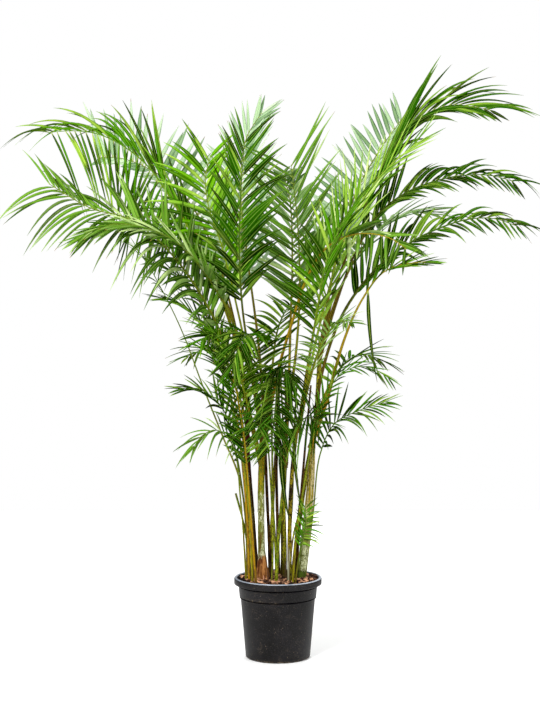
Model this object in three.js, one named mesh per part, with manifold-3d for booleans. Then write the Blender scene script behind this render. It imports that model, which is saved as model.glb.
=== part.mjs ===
// A golden cane palm in a round black nursery pot.
// Millimetres. +Z is up, the pot stands on Z = 0 with its axis on the Z axis,
// and the side that the photograph shows faces -Y.

import * as THREE from "three";
import { mergeVertices } from "three/addons/utils/BufferGeometryUtils.js";
import Module from "manifold-3d";

const wasm = await Module();
wasm.setup();

// ---------------------------------------------------------------- dimensions

const POT_HEIGHT = 315;
const RIM_RADIUS = 172;
const LIP_HEIGHT = 27;
const BAND_TOP_RADIUS = 155;
const BAND_RADIUS = 151;
const BAND_BOTTOM = 238;
const BODY_TOP_RADIUS = 147;
const FOOT_RADIUS = 127;
const WALL = 3;
const FLOOR = 5;
const POT_SIDES = 32;
const DRAIN_HOLES = 4;
const DRAIN_HOLE_RADIUS = 7;
const DRAIN_CIRCLE_RADIUS = 78;

const SOIL_LEVEL = 310;
// Half as many as the pot's, so that the corners of the two meet.
const SOIL_SIDES = POT_SIDES / 2;
const SOIL_RINGS = [40, 80, 118];
const SOIL_UNEVENNESS = 6;
const CHIP_COUNT = 7;
const CHIP_SIZE = [30, 13, 8];

// Pieces that touch keep this much air between them.
const GAP = 0.3;

const CANE_SIDES = 8;
const CANE_STEPS = 6;
// Canes with a smaller foot radius than this have fewer sides.
const THIN_CANE = 8;
const THIN_CANE_SIDES = 6;
const PETIOLE_SIDES = 3;
const PETIOLE_STEPS = 8;
const PETIOLE_TIP_RADIUS = 2;
// A rachis has a ridge along its upper side, and is deeper than it is wide.
const RACHIS_SHAPE = { side: 0.95, outward: 1.15 };

// A leaflet: how far along each of its rings lies, how wide it is there as a
// share of its full width, and how thick it is there in millimetres.
const BLADE_SIDES = 3;
const BLADE_RINGS = [
  { along: 0, width: 0.3, thickness: 1.4 },
  { along: 0.38, width: 1, thickness: 1.6 },
  { along: 1, width: 0, thickness: 0 },
];
// Leaflets shorter than this run straight from root to tip.
const SHORTEST_BENT = 150;
const SHORT_BLADE_RINGS = [
  { along: 0, width: 0.7, thickness: 1.6 },
  { along: 1, width: 0, thickness: 0 },
];
// Leaflets at less than this angle from the rachis are rolled by the difference.
const SLATE_ANGLE = 40;
// How far the tip of a hanging leaflet swings aside.
const STRAP_BEND = 35;
// How far the two rows are lifted into a V, from the first pair to the last.
const FIRST_LIFT = 28;
const LAST_LIFT = 8;
// Vertices closer than this to the faces around them are dropped after joining.
const FINEST_DETAIL = 0.2;

const POT_COLOUR = 0x2c2d30;
const SOIL_COLOUR = 0x6b4230;
const LEAF_COLOURS = {
  deep: 0x2f5a26,
  dark: 0x28491f,
  bright: 0x4c8a2c,
  young: 0x7fae3a,
  grey: 0x5d7f55,
  pale: 0x86a377,
};

// Each cane from its foot in the soil to its top: points, foot and top radius, how
// far the boss at its foot stands out, and the share of its height where it ends.
const CANES = [
  {
    name: "cane_left",
    path: [[-55, -45, 240], [-65, -45, 485], [-65, -50, 700], [-60, -50, 860]],
    radius: [15, 12],
    boss: 14,
    bossEnd: 0.3,
    colour: 0xa9a878,
  },
  {
    name: "cane_right",
    path: [[85, -25, 240], [105, -25, 455], [125, -20, 650], [135, -20, 855]],
    radius: [21, 12],
    boss: 3,
    bossEnd: 0.12,
    colour: 0xa6ab80,
  },
  {
    name: "cane_back_left",
    path: [[-80, 45, 240], [-100, 55, 530], [-120, 70, 805], [-120, 80, 1025]],
    radius: [11, 9],
    boss: 1.5,
    bossEnd: 0.12,
    colour: 0x54391f,
  },
  {
    name: "cane_back_right",
    path: [[55, 60, 240], [95, 80, 605], [150, 95, 925], [170, 105, 1240]],
    radius: [11, 9],
    boss: 1.5,
    bossEnd: 0.12,
    colour: 0x7c7a36,
  },
  {
    name: "cane_middle",
    path: [[25, 10, 240], [20, 10, 535], [30, 5, 815], [40, 0, 1010]],
    radius: [10, 8],
    boss: 4,
    bossEnd: 0.25,
    colour: 0x8d8438,
  },
  {
    name: "cane_mid_right",
    path: [[45, -70, 240], [45, -70, 510], [55, -80, 745], [75, -85, 920]],
    radius: [9, 7],
    boss: 1.5,
    bossEnd: 0.12,
    colour: 0x6f6a30,
  },
  {
    name: "cane_front",
    path: [[-10, -85, 240], [0, -90, 455], [15, -95, 630], [30, -100, 775]],
    radius: [7, 6],
    boss: 1.5,
    bossEnd: 0.12,
    colour: 0x6f9a34,
  },
  {
    name: "cane_slim_dark",
    path: [[-30, -5, 240], [-35, -10, 460], [-45, -10, 695], [-55, -15, 1005]],
    radius: [6.5, 5.5],
    boss: 1.5,
    bossEnd: 0.12,
    colour: 0x3c2a1c,
  },
  {
    name: "cane_silver",
    path: [[-90, 15, 240], [-100, 15, 415], [-110, 20, 615], [-125, 20, 790], [-145, 30, 970]],
    radius: [7.5, 3.5],
    boss: 1.5,
    bossEnd: 0.12,
    colour: 0xa5ab88,
  },
  {
    name: "cane_cut",
    path: [[-105, -5, 240], [-120, -10, 440], [-140, -10, 550], [-165, -15, 645]],
    radius: [4.5, 4],
    boss: 1,
    bossEnd: 0.12,
    colour: 0x4f6f2c,
  },
  {
    name: "cane_green",
    path: [[-5, -35, 240], [-10, -35, 440], [-20, -40, 620], [-25, -50, 895], [-40, -55, 1090]],
    radius: [5.5, 3],
    boss: 1,
    bossEnd: 0.12,
    colour: 0x4c7f2a,
  },
  {
    name: "cane_mottled",
    path: [[5, 40, 240], [0, 40, 455], [-5, 40, 690], [-5, 35, 890], [-5, 30, 1085]],
    radius: [7.5, 3.5],
    boss: 1.5,
    bossEnd: 0.12,
    colour: 0x3f2d1c,
  },
  {
    name: "cane_right_green",
    path: [[45, -45, 240], [45, -45, 430], [55, -50, 625], [65, -60, 935], [75, -65, 1105]],
    radius: [5, 3],
    boss: 1,
    bossEnd: 0.12,
    colour: 0x5f8a30,
  },
  {
    name: "cane_right_brown",
    path: [[70, 25, 240], [80, 30, 455], [90, 35, 610], [110, 40, 850], [130, 50, 1065]],
    radius: [6.5, 3.5],
    boss: 1.5,
    bossEnd: 0.12,
    colour: 0x4a2f28,
  },
  {
    name: "cane_far",
    path: [[-30, 80, 240], [-25, 85, 485], [-10, 90, 765], [10, 100, 1120]],
    radius: [8, 4],
    boss: 1.5,
    bossEnd: 0.12,
    colour: 0x6f7434,
  },
  {
    name: "cane_golden",
    path: [[-95, -60, 240], [-105, -65, 405], [-115, -70, 550], [-130, -75, 800], [-155, -90, 1025]],
    radius: [5, 3],
    boss: 1,
    bossEnd: 0.12,
    colour: 0xa8801c,
  },
  {
    name: "cane_yellow",
    path: [[-85, -20, 240], [-105, -25, 445], [-125, -30, 620], [-150, -40, 855], [-190, -55, 1075]],
    radius: [5, 3],
    boss: 1,
    bossEnd: 0.12,
    colour: 0x8c9a2c,
  },
  {
    name: "cane_thin_green",
    path: [[-25, -80, 240], [-20, -80, 470], [-25, -85, 630], [-40, -90, 860], [-60, -100, 1070]],
    radius: [4.5, 2.5],
    boss: 1,
    bossEnd: 0.12,
    colour: 0x4f7f2a,
  },
  {
    name: "cane_thin_olive",
    path: [[30, -30, 240], [30, -35, 445], [25, -35, 620], [20, -40, 895], [10, -50, 1115]],
    radius: [5, 3],
    boss: 1,
    bossEnd: 0.12,
    colour: 0x857c28,
  },
  {
    name: "cane_short",
    path: [[50, -90, 240], [50, -95, 410], [60, -95, 495], [75, -100, 560]],
    radius: [4, 3.5],
    boss: 1,
    bossEnd: 0.12,
    colour: 0x7d7a2a,
  },
];

// Each frond from its root to its tip: the points that its rachis runs through,
// the direction that its upper side faces, the number of leaflet pairs, the length
// and width of its largest leaflet, how far leaflets sag as a share of their length,
// where along the rachis they begin, and for each of the two rows the angle between
// leaflet and rachis at the first and the last pair, the length of the last pair as
// a share of the longest, and the length of the whole row as a share of the blade.
const FRONDS = [
  {
    name: "frond_left_top",
    path: [
      [-110, 80, 955], [-180, 90, 1280], [-310, 105, 1600], [-420, 110, 1795],
      [-515, 105, 1930], [-615, 85, 2010], [-705, 60, 2050], [-795, 35, 2060],
      [-895, 5, 2050],
    ],
    face: [0.15, -1, 0.35],
    radius: 8,
    pairs: 13,
    blade: [400, 22],
    droop: 0.55,
    start: 0.47,
    rows: [[120, 108, 0.85, 0.8], [13, 26, 0.48, 1.05]],
    tone: "deep",
    seed: 1,
  },
  {
    name: "frond_left_arch",
    path: [
      [-60, -50, 725], [-130, -100, 1015], [-250, -190, 1345], [-410, -260, 1585],
      [-555, -310, 1700], [-685, -335, 1735], [-840, -350, 1825],
    ],
    face: [0.2, -0.6, 0.8],
    radius: 6.5,
    pairs: 10,
    blade: [320, 24],
    droop: 0.5,
    start: 0.42,
    rows: [[56, 50, 1, 0.92], [50, 38, 0.8, 0.92]],
    tone: "grey",
    seed: 2,
  },
  {
    name: "frond_left_droop",
    path: [
      [-55, -15, 915], [-110, -70, 1130], [-210, -190, 1400], [-360, -330, 1600],
      [-480, -420, 1660], [-590, -480, 1670], [-690, -520, 1635],
    ],
    face: [0.25, -0.4, 0.9],
    radius: 6.5,
    pairs: 9,
    blade: [260, 28],
    droop: 0.3,
    start: 0.45,
    rows: [[50, 20, 0.6, 0.9], [35, 10, 0.6, 0.8]],
    tone: "grey",
    seed: 3,
  },
  {
    name: "frond_left_back",
    path: [
      [-120, 85, 1005], [-175, 150, 1320], [-260, 250, 1605], [-370, 350, 1810],
      [-515, 430, 1935], [-655, 480, 1995], [-755, 510, 2000],
    ],
    face: [0.3, -1, 0.3],
    radius: 6.5,
    pairs: 9,
    blade: [285, 36],
    droop: 0.12,
    start: 0.34,
    rows: [[60, 30, 0.48, 0.45], [76, 68, 0.9, 1]],
    tone: "pale",
    seed: 4,
  },
  {
    name: "frond_left_low",
    path: [
      [-110, -60, 240], [-120, -75, 550], [-145, -100, 860], [-190, -130, 1135],
      [-275, -165, 1355], [-385, -200, 1500], [-460, -220, 1540],
    ],
    face: [0.3, -0.5, 0.8],
    radius: 4.6,
    pairs: 8,
    blade: [170, 14],
    droop: 0.3,
    start: 0.66,
    rows: [[50, 15, 0.6, 1], [35, 10, 0.6, 0.8]],
    tone: "grey",
    seed: 5,
  },
  {
    name: "frond_left_thin",
    path: [
      [-115, 30, 240], [-145, 45, 670], [-220, 70, 865], [-290, 110, 1035],
      [-390, 160, 1290], [-485, 205, 1475], [-555, 235, 1590], [-595, 245, 1625],
    ],
    face: [0.4, -0.2, 0.9],
    radius: 4.6,
    pairs: 5,
    blade: [150, 11],
    droop: 0.6,
    start: 0.84,
    rows: [[56, 20, 0.48, 1], [56, 20, 0.48, 1]],
    tone: "grey",
    seed: 6,
  },
  {
    name: "frond_left_mid",
    path: [
      [-95, -95, 240], [-115, -110, 630], [-155, -140, 905], [-215, -175, 1135],
      [-280, -205, 1305], [-370, -225, 1390], [-440, -240, 1410],
    ],
    face: [0.3, -0.5, 0.8],
    radius: 4.6,
    pairs: 7,
    blade: [150, 16],
    droop: 0.3,
    start: 0.62,
    rows: [[50, 15, 0.6, 1], [40, 12, 0.6, 1]],
    tone: "deep",
    seed: 7,
  },
  {
    name: "frond_left_golden",
    path: [
      [-80, -110, 240], [-110, -120, 635], [-135, -130, 915], [-175, -150, 1115],
      [-215, -170, 1225], [-250, -190, 1280],
    ],
    face: [0.35, -0.9, 0.3],
    radius: 5.5,
    pairs: 8,
    blade: [210, 14],
    droop: 0.2,
    start: 0.5,
    rows: [[56, 20, 0.48, 1], [56, 20, 0.48, 1]],
    tone: "dark",
    seed: 8,
  },
  {
    name: "frond_left_small",
    path: [
      [-120, -25, 240], [-145, -60, 625], [-175, -110, 845], [-235, -150, 905],
      [-290, -180, 885], [-325, -195, 835],
    ],
    face: [0.2, -0.5, 0.85],
    radius: 4.6,
    pairs: 6,
    blade: [150, 13],
    droop: 0.6,
    start: 0.66,
    rows: [[56, 20, 0.48, 1], [56, 20, 0.48, 1]],
    tone: "grey",
    seed: 9,
  },
  {
    name: "frond_left_fine",
    path: [
      [-100, 5, 240], [-130, 0, 580], [-165, -20, 815], [-215, -45, 980],
      [-300, -65, 1055], [-380, -75, 1060],
    ],
    face: [0.3, -0.4, 0.85],
    radius: 4.6,
    pairs: 6,
    blade: [160, 18],
    droop: 0.35,
    start: 0.62,
    rows: [[56, 20, 0.48, 1], [56, 20, 0.48, 1]],
    tone: "dark",
    seed: 10,
  },
  {
    name: "frond_mid_left_tall",
    path: [
      [-60, -50, 840], [-85, -110, 1065], [-130, -180, 1325], [-145, -240, 1550],
      [-140, -285, 1770], [-125, -310, 1980],
    ],
    face: [0.05, -1, 0.1],
    radius: 6.5,
    pairs: 12,
    blade: [325, 21],
    droop: 0.3,
    start: 0.5,
    rows: [[42, 20, 0.5, 0.92], [44, 34, 0.6, 0.95]],
    tone: "dark",
    seed: 11,
  },
  {
    name: "frond_mid_left_bright",
    path: [
      [-60, -50, 820], [-100, -60, 1090], [-155, -90, 1360], [-210, -120, 1590],
      [-265, -140, 1760], [-275, -150, 1860], [-255, -160, 1945],
    ],
    face: [0.1, -1, 0.25],
    radius: 6.5,
    pairs: 8,
    blade: [325, 24],
    droop: 0.3,
    start: 0.54,
    rows: [[56, 42, 0.6, 1.05], [46, 28, 0.5, 0.85]],
    tone: "bright",
    seed: 12,
  },
  {
    name: "frond_mid_back",
    path: [
      [-55, -15, 985], [-80, 60, 1260], [-120, 150, 1560], [-150, 240, 1845],
      [-130, 310, 2055], [-65, 350, 2170],
    ],
    face: [-0.2, -1, 0.3],
    radius: 6.5,
    pairs: 9,
    blade: [270, 24],
    droop: 0.12,
    start: 0.42,
    rows: [[56, 20, 0.48, 1], [56, 20, 0.48, 1]],
    tone: "pale",
    seed: 13,
  },
  {
    name: "frond_mid_tall",
    path: [
      [45, 0, 995], [75, 0, 1245], [85, 0, 1480], [75, -10, 1710],
      [50, -20, 1925],
    ],
    face: [-0.05, -1, 0.1],
    radius: 6.5,
    pairs: 11,
    blade: [320, 17],
    droop: 0.12,
    start: 0.38,
    rows: [[60, 45, 0.85, 1], [44, 33, 0.95, 1]],
    tone: "grey",
    seed: 14,
  },
  {
    name: "frond_mid_front",
    path: [
      [-60, -50, 790], [-60, -150, 1020], [-75, -290, 1195], [-105, -420, 1275],
      [-135, -540, 1250], [-165, -620, 1165],
    ],
    face: [0.15, 0.2, 1],
    radius: 6.5,
    pairs: 9,
    blade: [230, 18],
    droop: 0.4,
    start: 0.38,
    rows: [[56, 20, 0.48, 1], [56, 20, 0.48, 1]],
    tone: "dark",
    seed: 15,
  },
  {
    name: "frond_mid_front_left",
    path: [
      [-60, -50, 755], [-115, -140, 1000], [-165, -260, 1175], [-230, -380, 1275],
      [-280, -480, 1255],
    ],
    face: [0.35, 0.1, 1],
    radius: 6.5,
    pairs: 8,
    blade: [250, 20],
    droop: 0.4,
    start: 0.4,
    rows: [[56, 20, 0.48, 1], [56, 20, 0.48, 1]],
    tone: "deep",
    seed: 16,
  },
  {
    name: "frond_mid_front_right",
    path: [
      [80, -90, 900], [115, -170, 1080], [160, -290, 1235], [215, -400, 1320],
      [260, -500, 1320],
    ],
    face: [-0.35, 0.1, 1],
    radius: 6.5,
    pairs: 8,
    blade: [170, 15],
    droop: 0.4,
    start: 0.4,
    rows: [[56, 20, 0.48, 1], [56, 20, 0.48, 1]],
    tone: "grey",
    seed: 17,
  },
  {
    name: "frond_mid_low",
    path: [
      [30, -100, 765], [45, -120, 865], [75, -150, 930], [115, -180, 955],
      [160, -200, 930],
    ],
    face: [-0.2, -0.5, 0.85],
    radius: 6.5,
    pairs: 6,
    blade: [190, 15],
    droop: 0.6,
    start: 0.42,
    rows: [[85, 60, 0.6, 1], [85, 60, 0.6, 1]],
    tone: "dark",
    seed: 18,
    strap: { along: 0.5, length: 330, width: 13 },
  },
  {
    name: "frond_mid_low_left",
    path: [
      [30, -100, 755], [5, -120, 865], [-15, -150, 930], [-45, -190, 955],
      [-75, -230, 920],
    ],
    face: [0.2, -0.5, 0.85],
    radius: 6.5,
    pairs: 6,
    blade: [200, 16],
    droop: 0.7,
    start: 0.4,
    rows: [[85, 60, 0.6, 1], [85, 60, 0.6, 1]],
    tone: "dark",
    seed: 19,
    strap: { along: 0.3, length: 300, width: 20 },
  },
  {
    name: "frond_mid_hanging",
    path: [
      [-50, -15, 885], [-30, -90, 1035], [-15, -170, 1125], [20, -240, 1145],
      [60, -290, 1090],
    ],
    face: [-0.2, -0.3, 0.95],
    radius: 6.5,
    pairs: 6,
    blade: [200, 16],
    droop: 0.9,
    start: 0.4,
    rows: [[56, 20, 0.48, 1], [56, 20, 0.48, 1]],
    tone: "dark",
    seed: 20,
    strap: { along: 0.7, length: 360, width: 13 },
  },
  {
    name: "frond_mid_inner",
    path: [
      [35, -5, 980], [30, -60, 1070], [20, -120, 1115], [0, -175, 1090],
      [-10, -205, 1000], [-20, -215, 910], [-25, -220, 835],
    ],
    face: [0.1, -0.5, 0.85],
    radius: 6.5,
    pairs: 6,
    blade: [140, 14],
    droop: 0.6,
    start: 0.36,
    rows: [[80, 50, 0.6, 1], [80, 50, 0.6, 1]],
    tone: "dark",
    seed: 21,
  },
  {
    name: "frond_right_arch",
    path: [
      [-55, -55, 835], [-25, -80, 1005], [5, -105, 1150], [50, -135, 1305],
      [105, -175, 1475], [180, -225, 1595], [295, -280, 1645], [405, -310, 1630],
      [475, -325, 1585],
    ],
    face: [-0.25, -0.8, 0.55],
    radius: 8,
    pairs: 10,
    blade: [200, 23],
    droop: 0.45,
    start: 0.6,
    rows: [[30, 22, 0.5, 1.1], [85, 70, 0.8, 0.72]],
    tone: "grey",
    seed: 22,
  },
  {
    name: "frond_right_young",
    path: [
      [80, -80, 900], [130, -75, 1170], [185, -65, 1400], [245, -60, 1610],
      [325, -60, 1785], [430, -75, 1915], [535, -90, 2005],
    ],
    face: [-0.25, -1, 0.2],
    radius: 6.5,
    pairs: 10,
    blade: [300, 12],
    droop: 0.1,
    start: 0.34,
    rows: [[40, 14, 0.6, 1], [26, 8, 0.48, 0.9]],
    tone: "young",
    seed: 23,
  },
  {
    name: "frond_right_top",
    path: [
      [170, 100, 1195], [225, 100, 1440], [295, 95, 1635], [355, 85, 1795],
      [425, 65, 1950], [500, 40, 2065], [590, 15, 2130], [680, -5, 2155],
      [755, -20, 2145], [825, -30, 2130],
    ],
    face: [-0.15, -0.9, 0.4],
    radius: 6.5,
    pairs: 13,
    blade: [410, 20],
    droop: 0.65,
    start: 0.42,
    rows: [[-8, 30, 0.5, 1.12], [4, 22, 0.34, 0.6]],
    tone: "dark",
    seed: 24,
  },
  {
    name: "frond_right_back",
    path: [
      [170, 110, 1215], [210, 180, 1440], [255, 270, 1645], [325, 350, 1845],
      [420, 420, 2015], [530, 470, 2170],
    ],
    face: [-0.4, -0.9, 0.35],
    radius: 6.5,
    pairs: 9,
    blade: [250, 29],
    droop: 0.12,
    start: 0.36,
    rows: [[64, 52, 0.6, 1], [36, 20, 0.48, 1]],
    tone: "pale",
    seed: 25,
  },
  {
    name: "frond_right_high",
    path: [
      [165, 100, 1160], [230, 110, 1380], [310, 140, 1590], [410, 160, 1750],
      [515, 180, 1830], [625, 190, 1875], [740, 200, 1900], [855, 200, 1900],
      [950, 195, 1875],
    ],
    face: [-0.15, -0.75, 0.6],
    radius: 6.5,
    pairs: 11,
    blade: [250, 20],
    droop: 0.6,
    start: 0.42,
    rows: [[16, 26, 0.52, 1.1], [8, 42, 0.7, 0.5]],
    tone: "dark",
    seed: 26,
  },
  {
    name: "frond_right_mid",
    path: [
      [135, -15, 835], [170, -10, 1110], [260, -10, 1360], [395, -30, 1535],
      [525, -60, 1630], [630, -85, 1680], [735, -100, 1710], [830, -105, 1710],
      [915, -110, 1680],
    ],
    face: [-0.15, -0.75, 0.65],
    radius: 8.5,
    pairs: 10,
    blade: [235, 19],
    droop: 0.6,
    start: 0.46,
    rows: [[26, 28, 0.62, 1.05], [18, 44, 0.6, 0.5]],
    tone: "dark",
    seed: 27,
  },
  {
    name: "frond_right_inner",
    path: [
      [75, -85, 890], [110, -160, 1135], [145, -240, 1355], [175, -290, 1525],
      [225, -320, 1665], [285, -335, 1765],
    ],
    face: [-0.2, -0.5, 0.85],
    radius: 6.5,
    pairs: 8,
    blade: [270, 24],
    droop: 0.3,
    start: 0.46,
    rows: [[70, 30, 0.6, 1], [40, 15, 0.5, 0.9]],
    tone: "deep",
    seed: 28,
  },
  {
    name: "frond_right_droop",
    path: [
      [125, -30, 825], [180, -70, 985], [250, -170, 1250], [310, -230, 1395],
      [385, -290, 1500], [455, -330, 1530], [540, -360, 1540],
    ],
    face: [-0.3, -0.5, 0.8],
    radius: 8,
    pairs: 9,
    blade: [175, 17],
    droop: 0.15,
    start: 0.72,
    rows: [[32, 10, 0.6, 1], [35, 14, 0.6, 0.8]],
    tone: "deep",
    seed: 29,
    strap: { along: 0.72, length: 345, width: 15 },
  },
  {
    name: "frond_right_low",
    path: [
      [55, -95, 240], [65, -100, 435], [90, -110, 630], [150, -140, 940],
      [235, -180, 1120], [330, -220, 1150], [415, -250, 1110],
    ],
    face: [-0.2, -0.5, 0.85],
    radius: 4.6,
    pairs: 7,
    blade: [130, 13],
    droop: 0.3,
    start: 0.58,
    rows: [[35, 10, 0.6, 1], [50, 30, 0.6, 1]],
    tone: "deep",
    seed: 30,
  },
  {
    name: "frond_right_lower",
    path: [
      [100, 40, 240], [140, 30, 575], [165, 5, 795], [220, -35, 920],
      [315, -75, 975], [415, -100, 1010],
    ],
    face: [-0.2, -0.6, 0.8],
    radius: 4.6,
    pairs: 7,
    blade: [180, 14],
    droop: 0.5,
    start: 0.64,
    rows: [[56, 20, 0.48, 1], [56, 20, 0.48, 1]],
    tone: "deep",
    seed: 31,
  },
  {
    name: "frond_right_sucker",
    path: [
      [60, -110, 240], [75, -120, 380], [90, -125, 460], [105, -130, 535],
      [105, -135, 605],
    ],
    face: [-0.3, -0.9, 0.3],
    radius: 4.6,
    pairs: 5,
    blade: [88, 9],
    droop: 0.3,
    start: 0.6,
    rows: [[50, 24, 0.8, 1], [78, 46, 0.8, 1.1]],
    tone: "dark",
    seed: 32,
  },
  {
    name: "frond_back_left",
    path: [
      [-120, 85, 985], [-160, 180, 1240], [-245, 330, 1480], [-360, 480, 1670],
      [-485, 600, 1775], [-595, 680, 1790],
    ],
    face: [0.3, -0.1, 1],
    radius: 6.5,
    pairs: 7,
    blade: [290, 26],
    droop: 0.3,
    start: 0.4,
    rows: [[56, 20, 0.48, 1], [56, 20, 0.48, 1]],
    tone: "pale",
    seed: 33,
  },
  {
    name: "frond_back_mid",
    path: [
      [40, 5, 985], [50, 120, 1280], [60, 280, 1565], [55, 440, 1795],
      [35, 580, 1910], [30, 680, 1955],
    ],
    face: [0, -0.4, 1],
    radius: 6.5,
    pairs: 7,
    blade: [290, 26],
    droop: 0.25,
    start: 0.38,
    rows: [[56, 20, 0.48, 1], [56, 20, 0.48, 1]],
    tone: "pale",
    seed: 34,
  },
  {
    name: "frond_back_right",
    path: [
      [175, 110, 1200], [235, 210, 1400], [325, 340, 1575], [440, 480, 1710],
      [570, 600, 1775], [685, 690, 1775],
    ],
    face: [-0.3, -0.1, 1],
    radius: 6.5,
    pairs: 7,
    blade: [280, 26],
    droop: 0.3,
    start: 0.4,
    rows: [[56, 20, 0.48, 1], [56, 20, 0.48, 1]],
    tone: "pale",
    seed: 35,
  },
  {
    name: "frond_back_low",
    path: [
      [-55, -15, 955], [-25, 60, 1115], [0, 190, 1280], [50, 330, 1375],
      [110, 450, 1375],
    ],
    face: [-0.1, -0.2, 1],
    radius: 6.5,
    pairs: 7,
    blade: [250, 22],
    droop: 0.4,
    start: 0.42,
    rows: [[56, 20, 0.48, 1], [56, 20, 0.48, 1]],
    tone: "deep",
    seed: 36,
  },
  {
    name: "frond_back_low_left",
    path: [
      [-115, 80, 845], [-150, 140, 1000], [-220, 240, 1130], [-295, 340, 1195],
      [-375, 420, 1165],
    ],
    face: [0.3, -0.2, 1],
    radius: 6.5,
    pairs: 6,
    blade: [230, 20],
    droop: 0.4,
    start: 0.42,
    rows: [[56, 20, 0.48, 1], [56, 20, 0.48, 1]],
    tone: "deep",
    seed: 37,
  },
  {
    name: "frond_back_low_right",
    path: [
      [145, 100, 875], [185, 170, 1005], [255, 270, 1120], [345, 370, 1175],
      [430, 450, 1150],
    ],
    face: [-0.3, -0.2, 1],
    radius: 6.5,
    pairs: 6,
    blade: [230, 20],
    droop: 0.4,
    start: 0.42,
    rows: [[56, 20, 0.48, 1], [56, 20, 0.48, 1]],
    tone: "deep",
    seed: 38,
  },
];

// ------------------------------------------------------------------- helpers

const DEGREE = Math.PI / 180;
const UP = new THREE.Vector3(0, 0, 1);

// Numbers from 0 to 1 that come out the same at every run.
function seededRandom(seed) {
  let state = seed;
  return () => {
    state = (state * 1664525 + 1013904223) % 4294967296;
    return state / 4294967296;
  };
}

const mix = (from, to, share) => from + (to - from) * share;

function curveThrough(points) {
  return new THREE.CatmullRomCurve3(points.map((point) => new THREE.Vector3(...point)));
}

// Moves each vertex of a geometry with the function place.
function reshape(geometry, place) {
  const position = geometry.attributes.position;
  const point = new THREE.Vector3();
  for (let i = 0; i < position.count; i += 1) {
    point.fromBufferAttribute(position, i);
    place(point);
    position.setXYZ(i, point.x, point.y, point.z);
  }
  return geometry;
}

function toSolid(geometry) {
  const bare = geometry.clone();
  bare.deleteAttribute("normal");
  bare.deleteAttribute("uv");
  const merged = mergeVertices(bare, 1e-3);
  const vertProperties = new Float32Array(merged.attributes.position.array);
  const triVerts = new Uint32Array(merged.index.array);
  return new wasm.Manifold(new wasm.Mesh({ numProp: 3, vertProperties, triVerts }));
}

function toGeometry(solid) {
  const { vertProperties, triVerts } = solid.simplify(FINEST_DETAIL).getMesh();
  const geometry = new THREE.BufferGeometry();
  geometry.setAttribute("position", new THREE.BufferAttribute(vertProperties, 3));
  geometry.setIndex(new THREE.BufferAttribute(triVerts, 1));
  geometry.computeVertexNormals();
  return geometry;
}

function largestPiece(solid) {
  const pieces = solid.decompose();
  return pieces.reduce((best, piece) => (piece.volume() > best.volume() ? piece : best));
}

// Boxes that lie apart spare the slower test of the solids themselves.
function boxesMeet(a, b) {
  return [0, 1, 2].every((axis) => a.min[axis] < b.max[axis] && b.min[axis] < a.max[axis]);
}

function withBox(solid, owner) {
  return { solid, owner, box: solid.boundingBox() };
}

// ------------------------------------------------------------ canes and stems

// The directions across a stem at one point of its curve: side, ahead, face.
function frameAt(curve, share, face) {
  const ahead = curve.getTangentAt(share);
  const outward = face.clone().addScaledVector(ahead, -face.dot(ahead)).normalize();
  const side = new THREE.Vector3().crossVectors(ahead, outward);
  return { side, ahead, outward };
}

// The point on a stem's axis, which runs straight between its rings.
function pointOnStem(curve, share, steps) {
  const ring = Math.min(Math.floor(share * steps), steps - 1);
  const before = curve.getPointAt(ring / steps);
  const after = curve.getPointAt((ring + 1) / steps);
  return before.lerp(after, share * steps - ring);
}

// A tapering stem along a curve: a cylinder bent onto it.
function stemGeometry(curve, face, radiusAt, sides, steps, shape = { side: 1, outward: 1 }) {
  const cylinder = new THREE.CylinderGeometry(1, 1, 1, sides, steps);
  return reshape(cylinder, (point) => {
    const share = THREE.MathUtils.clamp(point.y + 0.5, 0, 1);
    const { side, outward } = frameAt(curve, share, face);
    const radius = radiusAt(share);
    const across = point.x * radius * shape.side;
    const out = point.z * radius * shape.outward;
    point.copy(curve.getPointAt(share));
    point.addScaledVector(side, across).addScaledVector(outward, out);
  });
}

// A cane swells at its foot and at the scars where old leaves sat.
function caneRadius(cane, share) {
  const [foot, top] = cane.radius;
  const ring = Math.round(share * CANE_STEPS) % 3 === 0 ? 1.05 : 1;
  const boss = cane.boss * Math.max(0, 1 - share / cane.bossEnd);
  return mix(foot, top, share) * ring + boss;
}

function caneSolid(cane, extra) {
  const curve = curveThrough(cane.path);
  const face = new THREE.Vector3(0, -1, 0);
  const radiusAt = (share) => caneRadius(cane, share) + extra;
  const sides = cane.radius[0] < THIN_CANE ? THIN_CANE_SIDES : CANE_SIDES;
  return toSolid(stemGeometry(curve, face, radiusAt, sides, CANE_STEPS));
}

// -------------------------------------------------------------------- fronds

function petioleSolid(frond, extra) {
  const curve = curveThrough(frond.path);
  const face = new THREE.Vector3(...frond.face);
  const radiusAt = (share) => mix(frond.radius, PETIOLE_TIP_RADIUS, share ** 1.2) + extra;
  const steps = PETIOLE_STEPS;
  return toSolid(stemGeometry(curve, face, radiusAt, PETIOLE_SIDES, steps, RACHIS_SHAPE));
}

// Leaflets are longest at a third of the leafy length and shorten to its tip.
function bladeLength(frond, share, lastLength, rowLength) {
  const rise = mix(0.62, 1, share / 0.3);
  const fall = mix(1, lastLength, ((share - 0.3) / 0.7) ** 1.3);
  return frond.blade[0] * rowLength * (share < 0.3 ? rise : fall);
}

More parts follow.
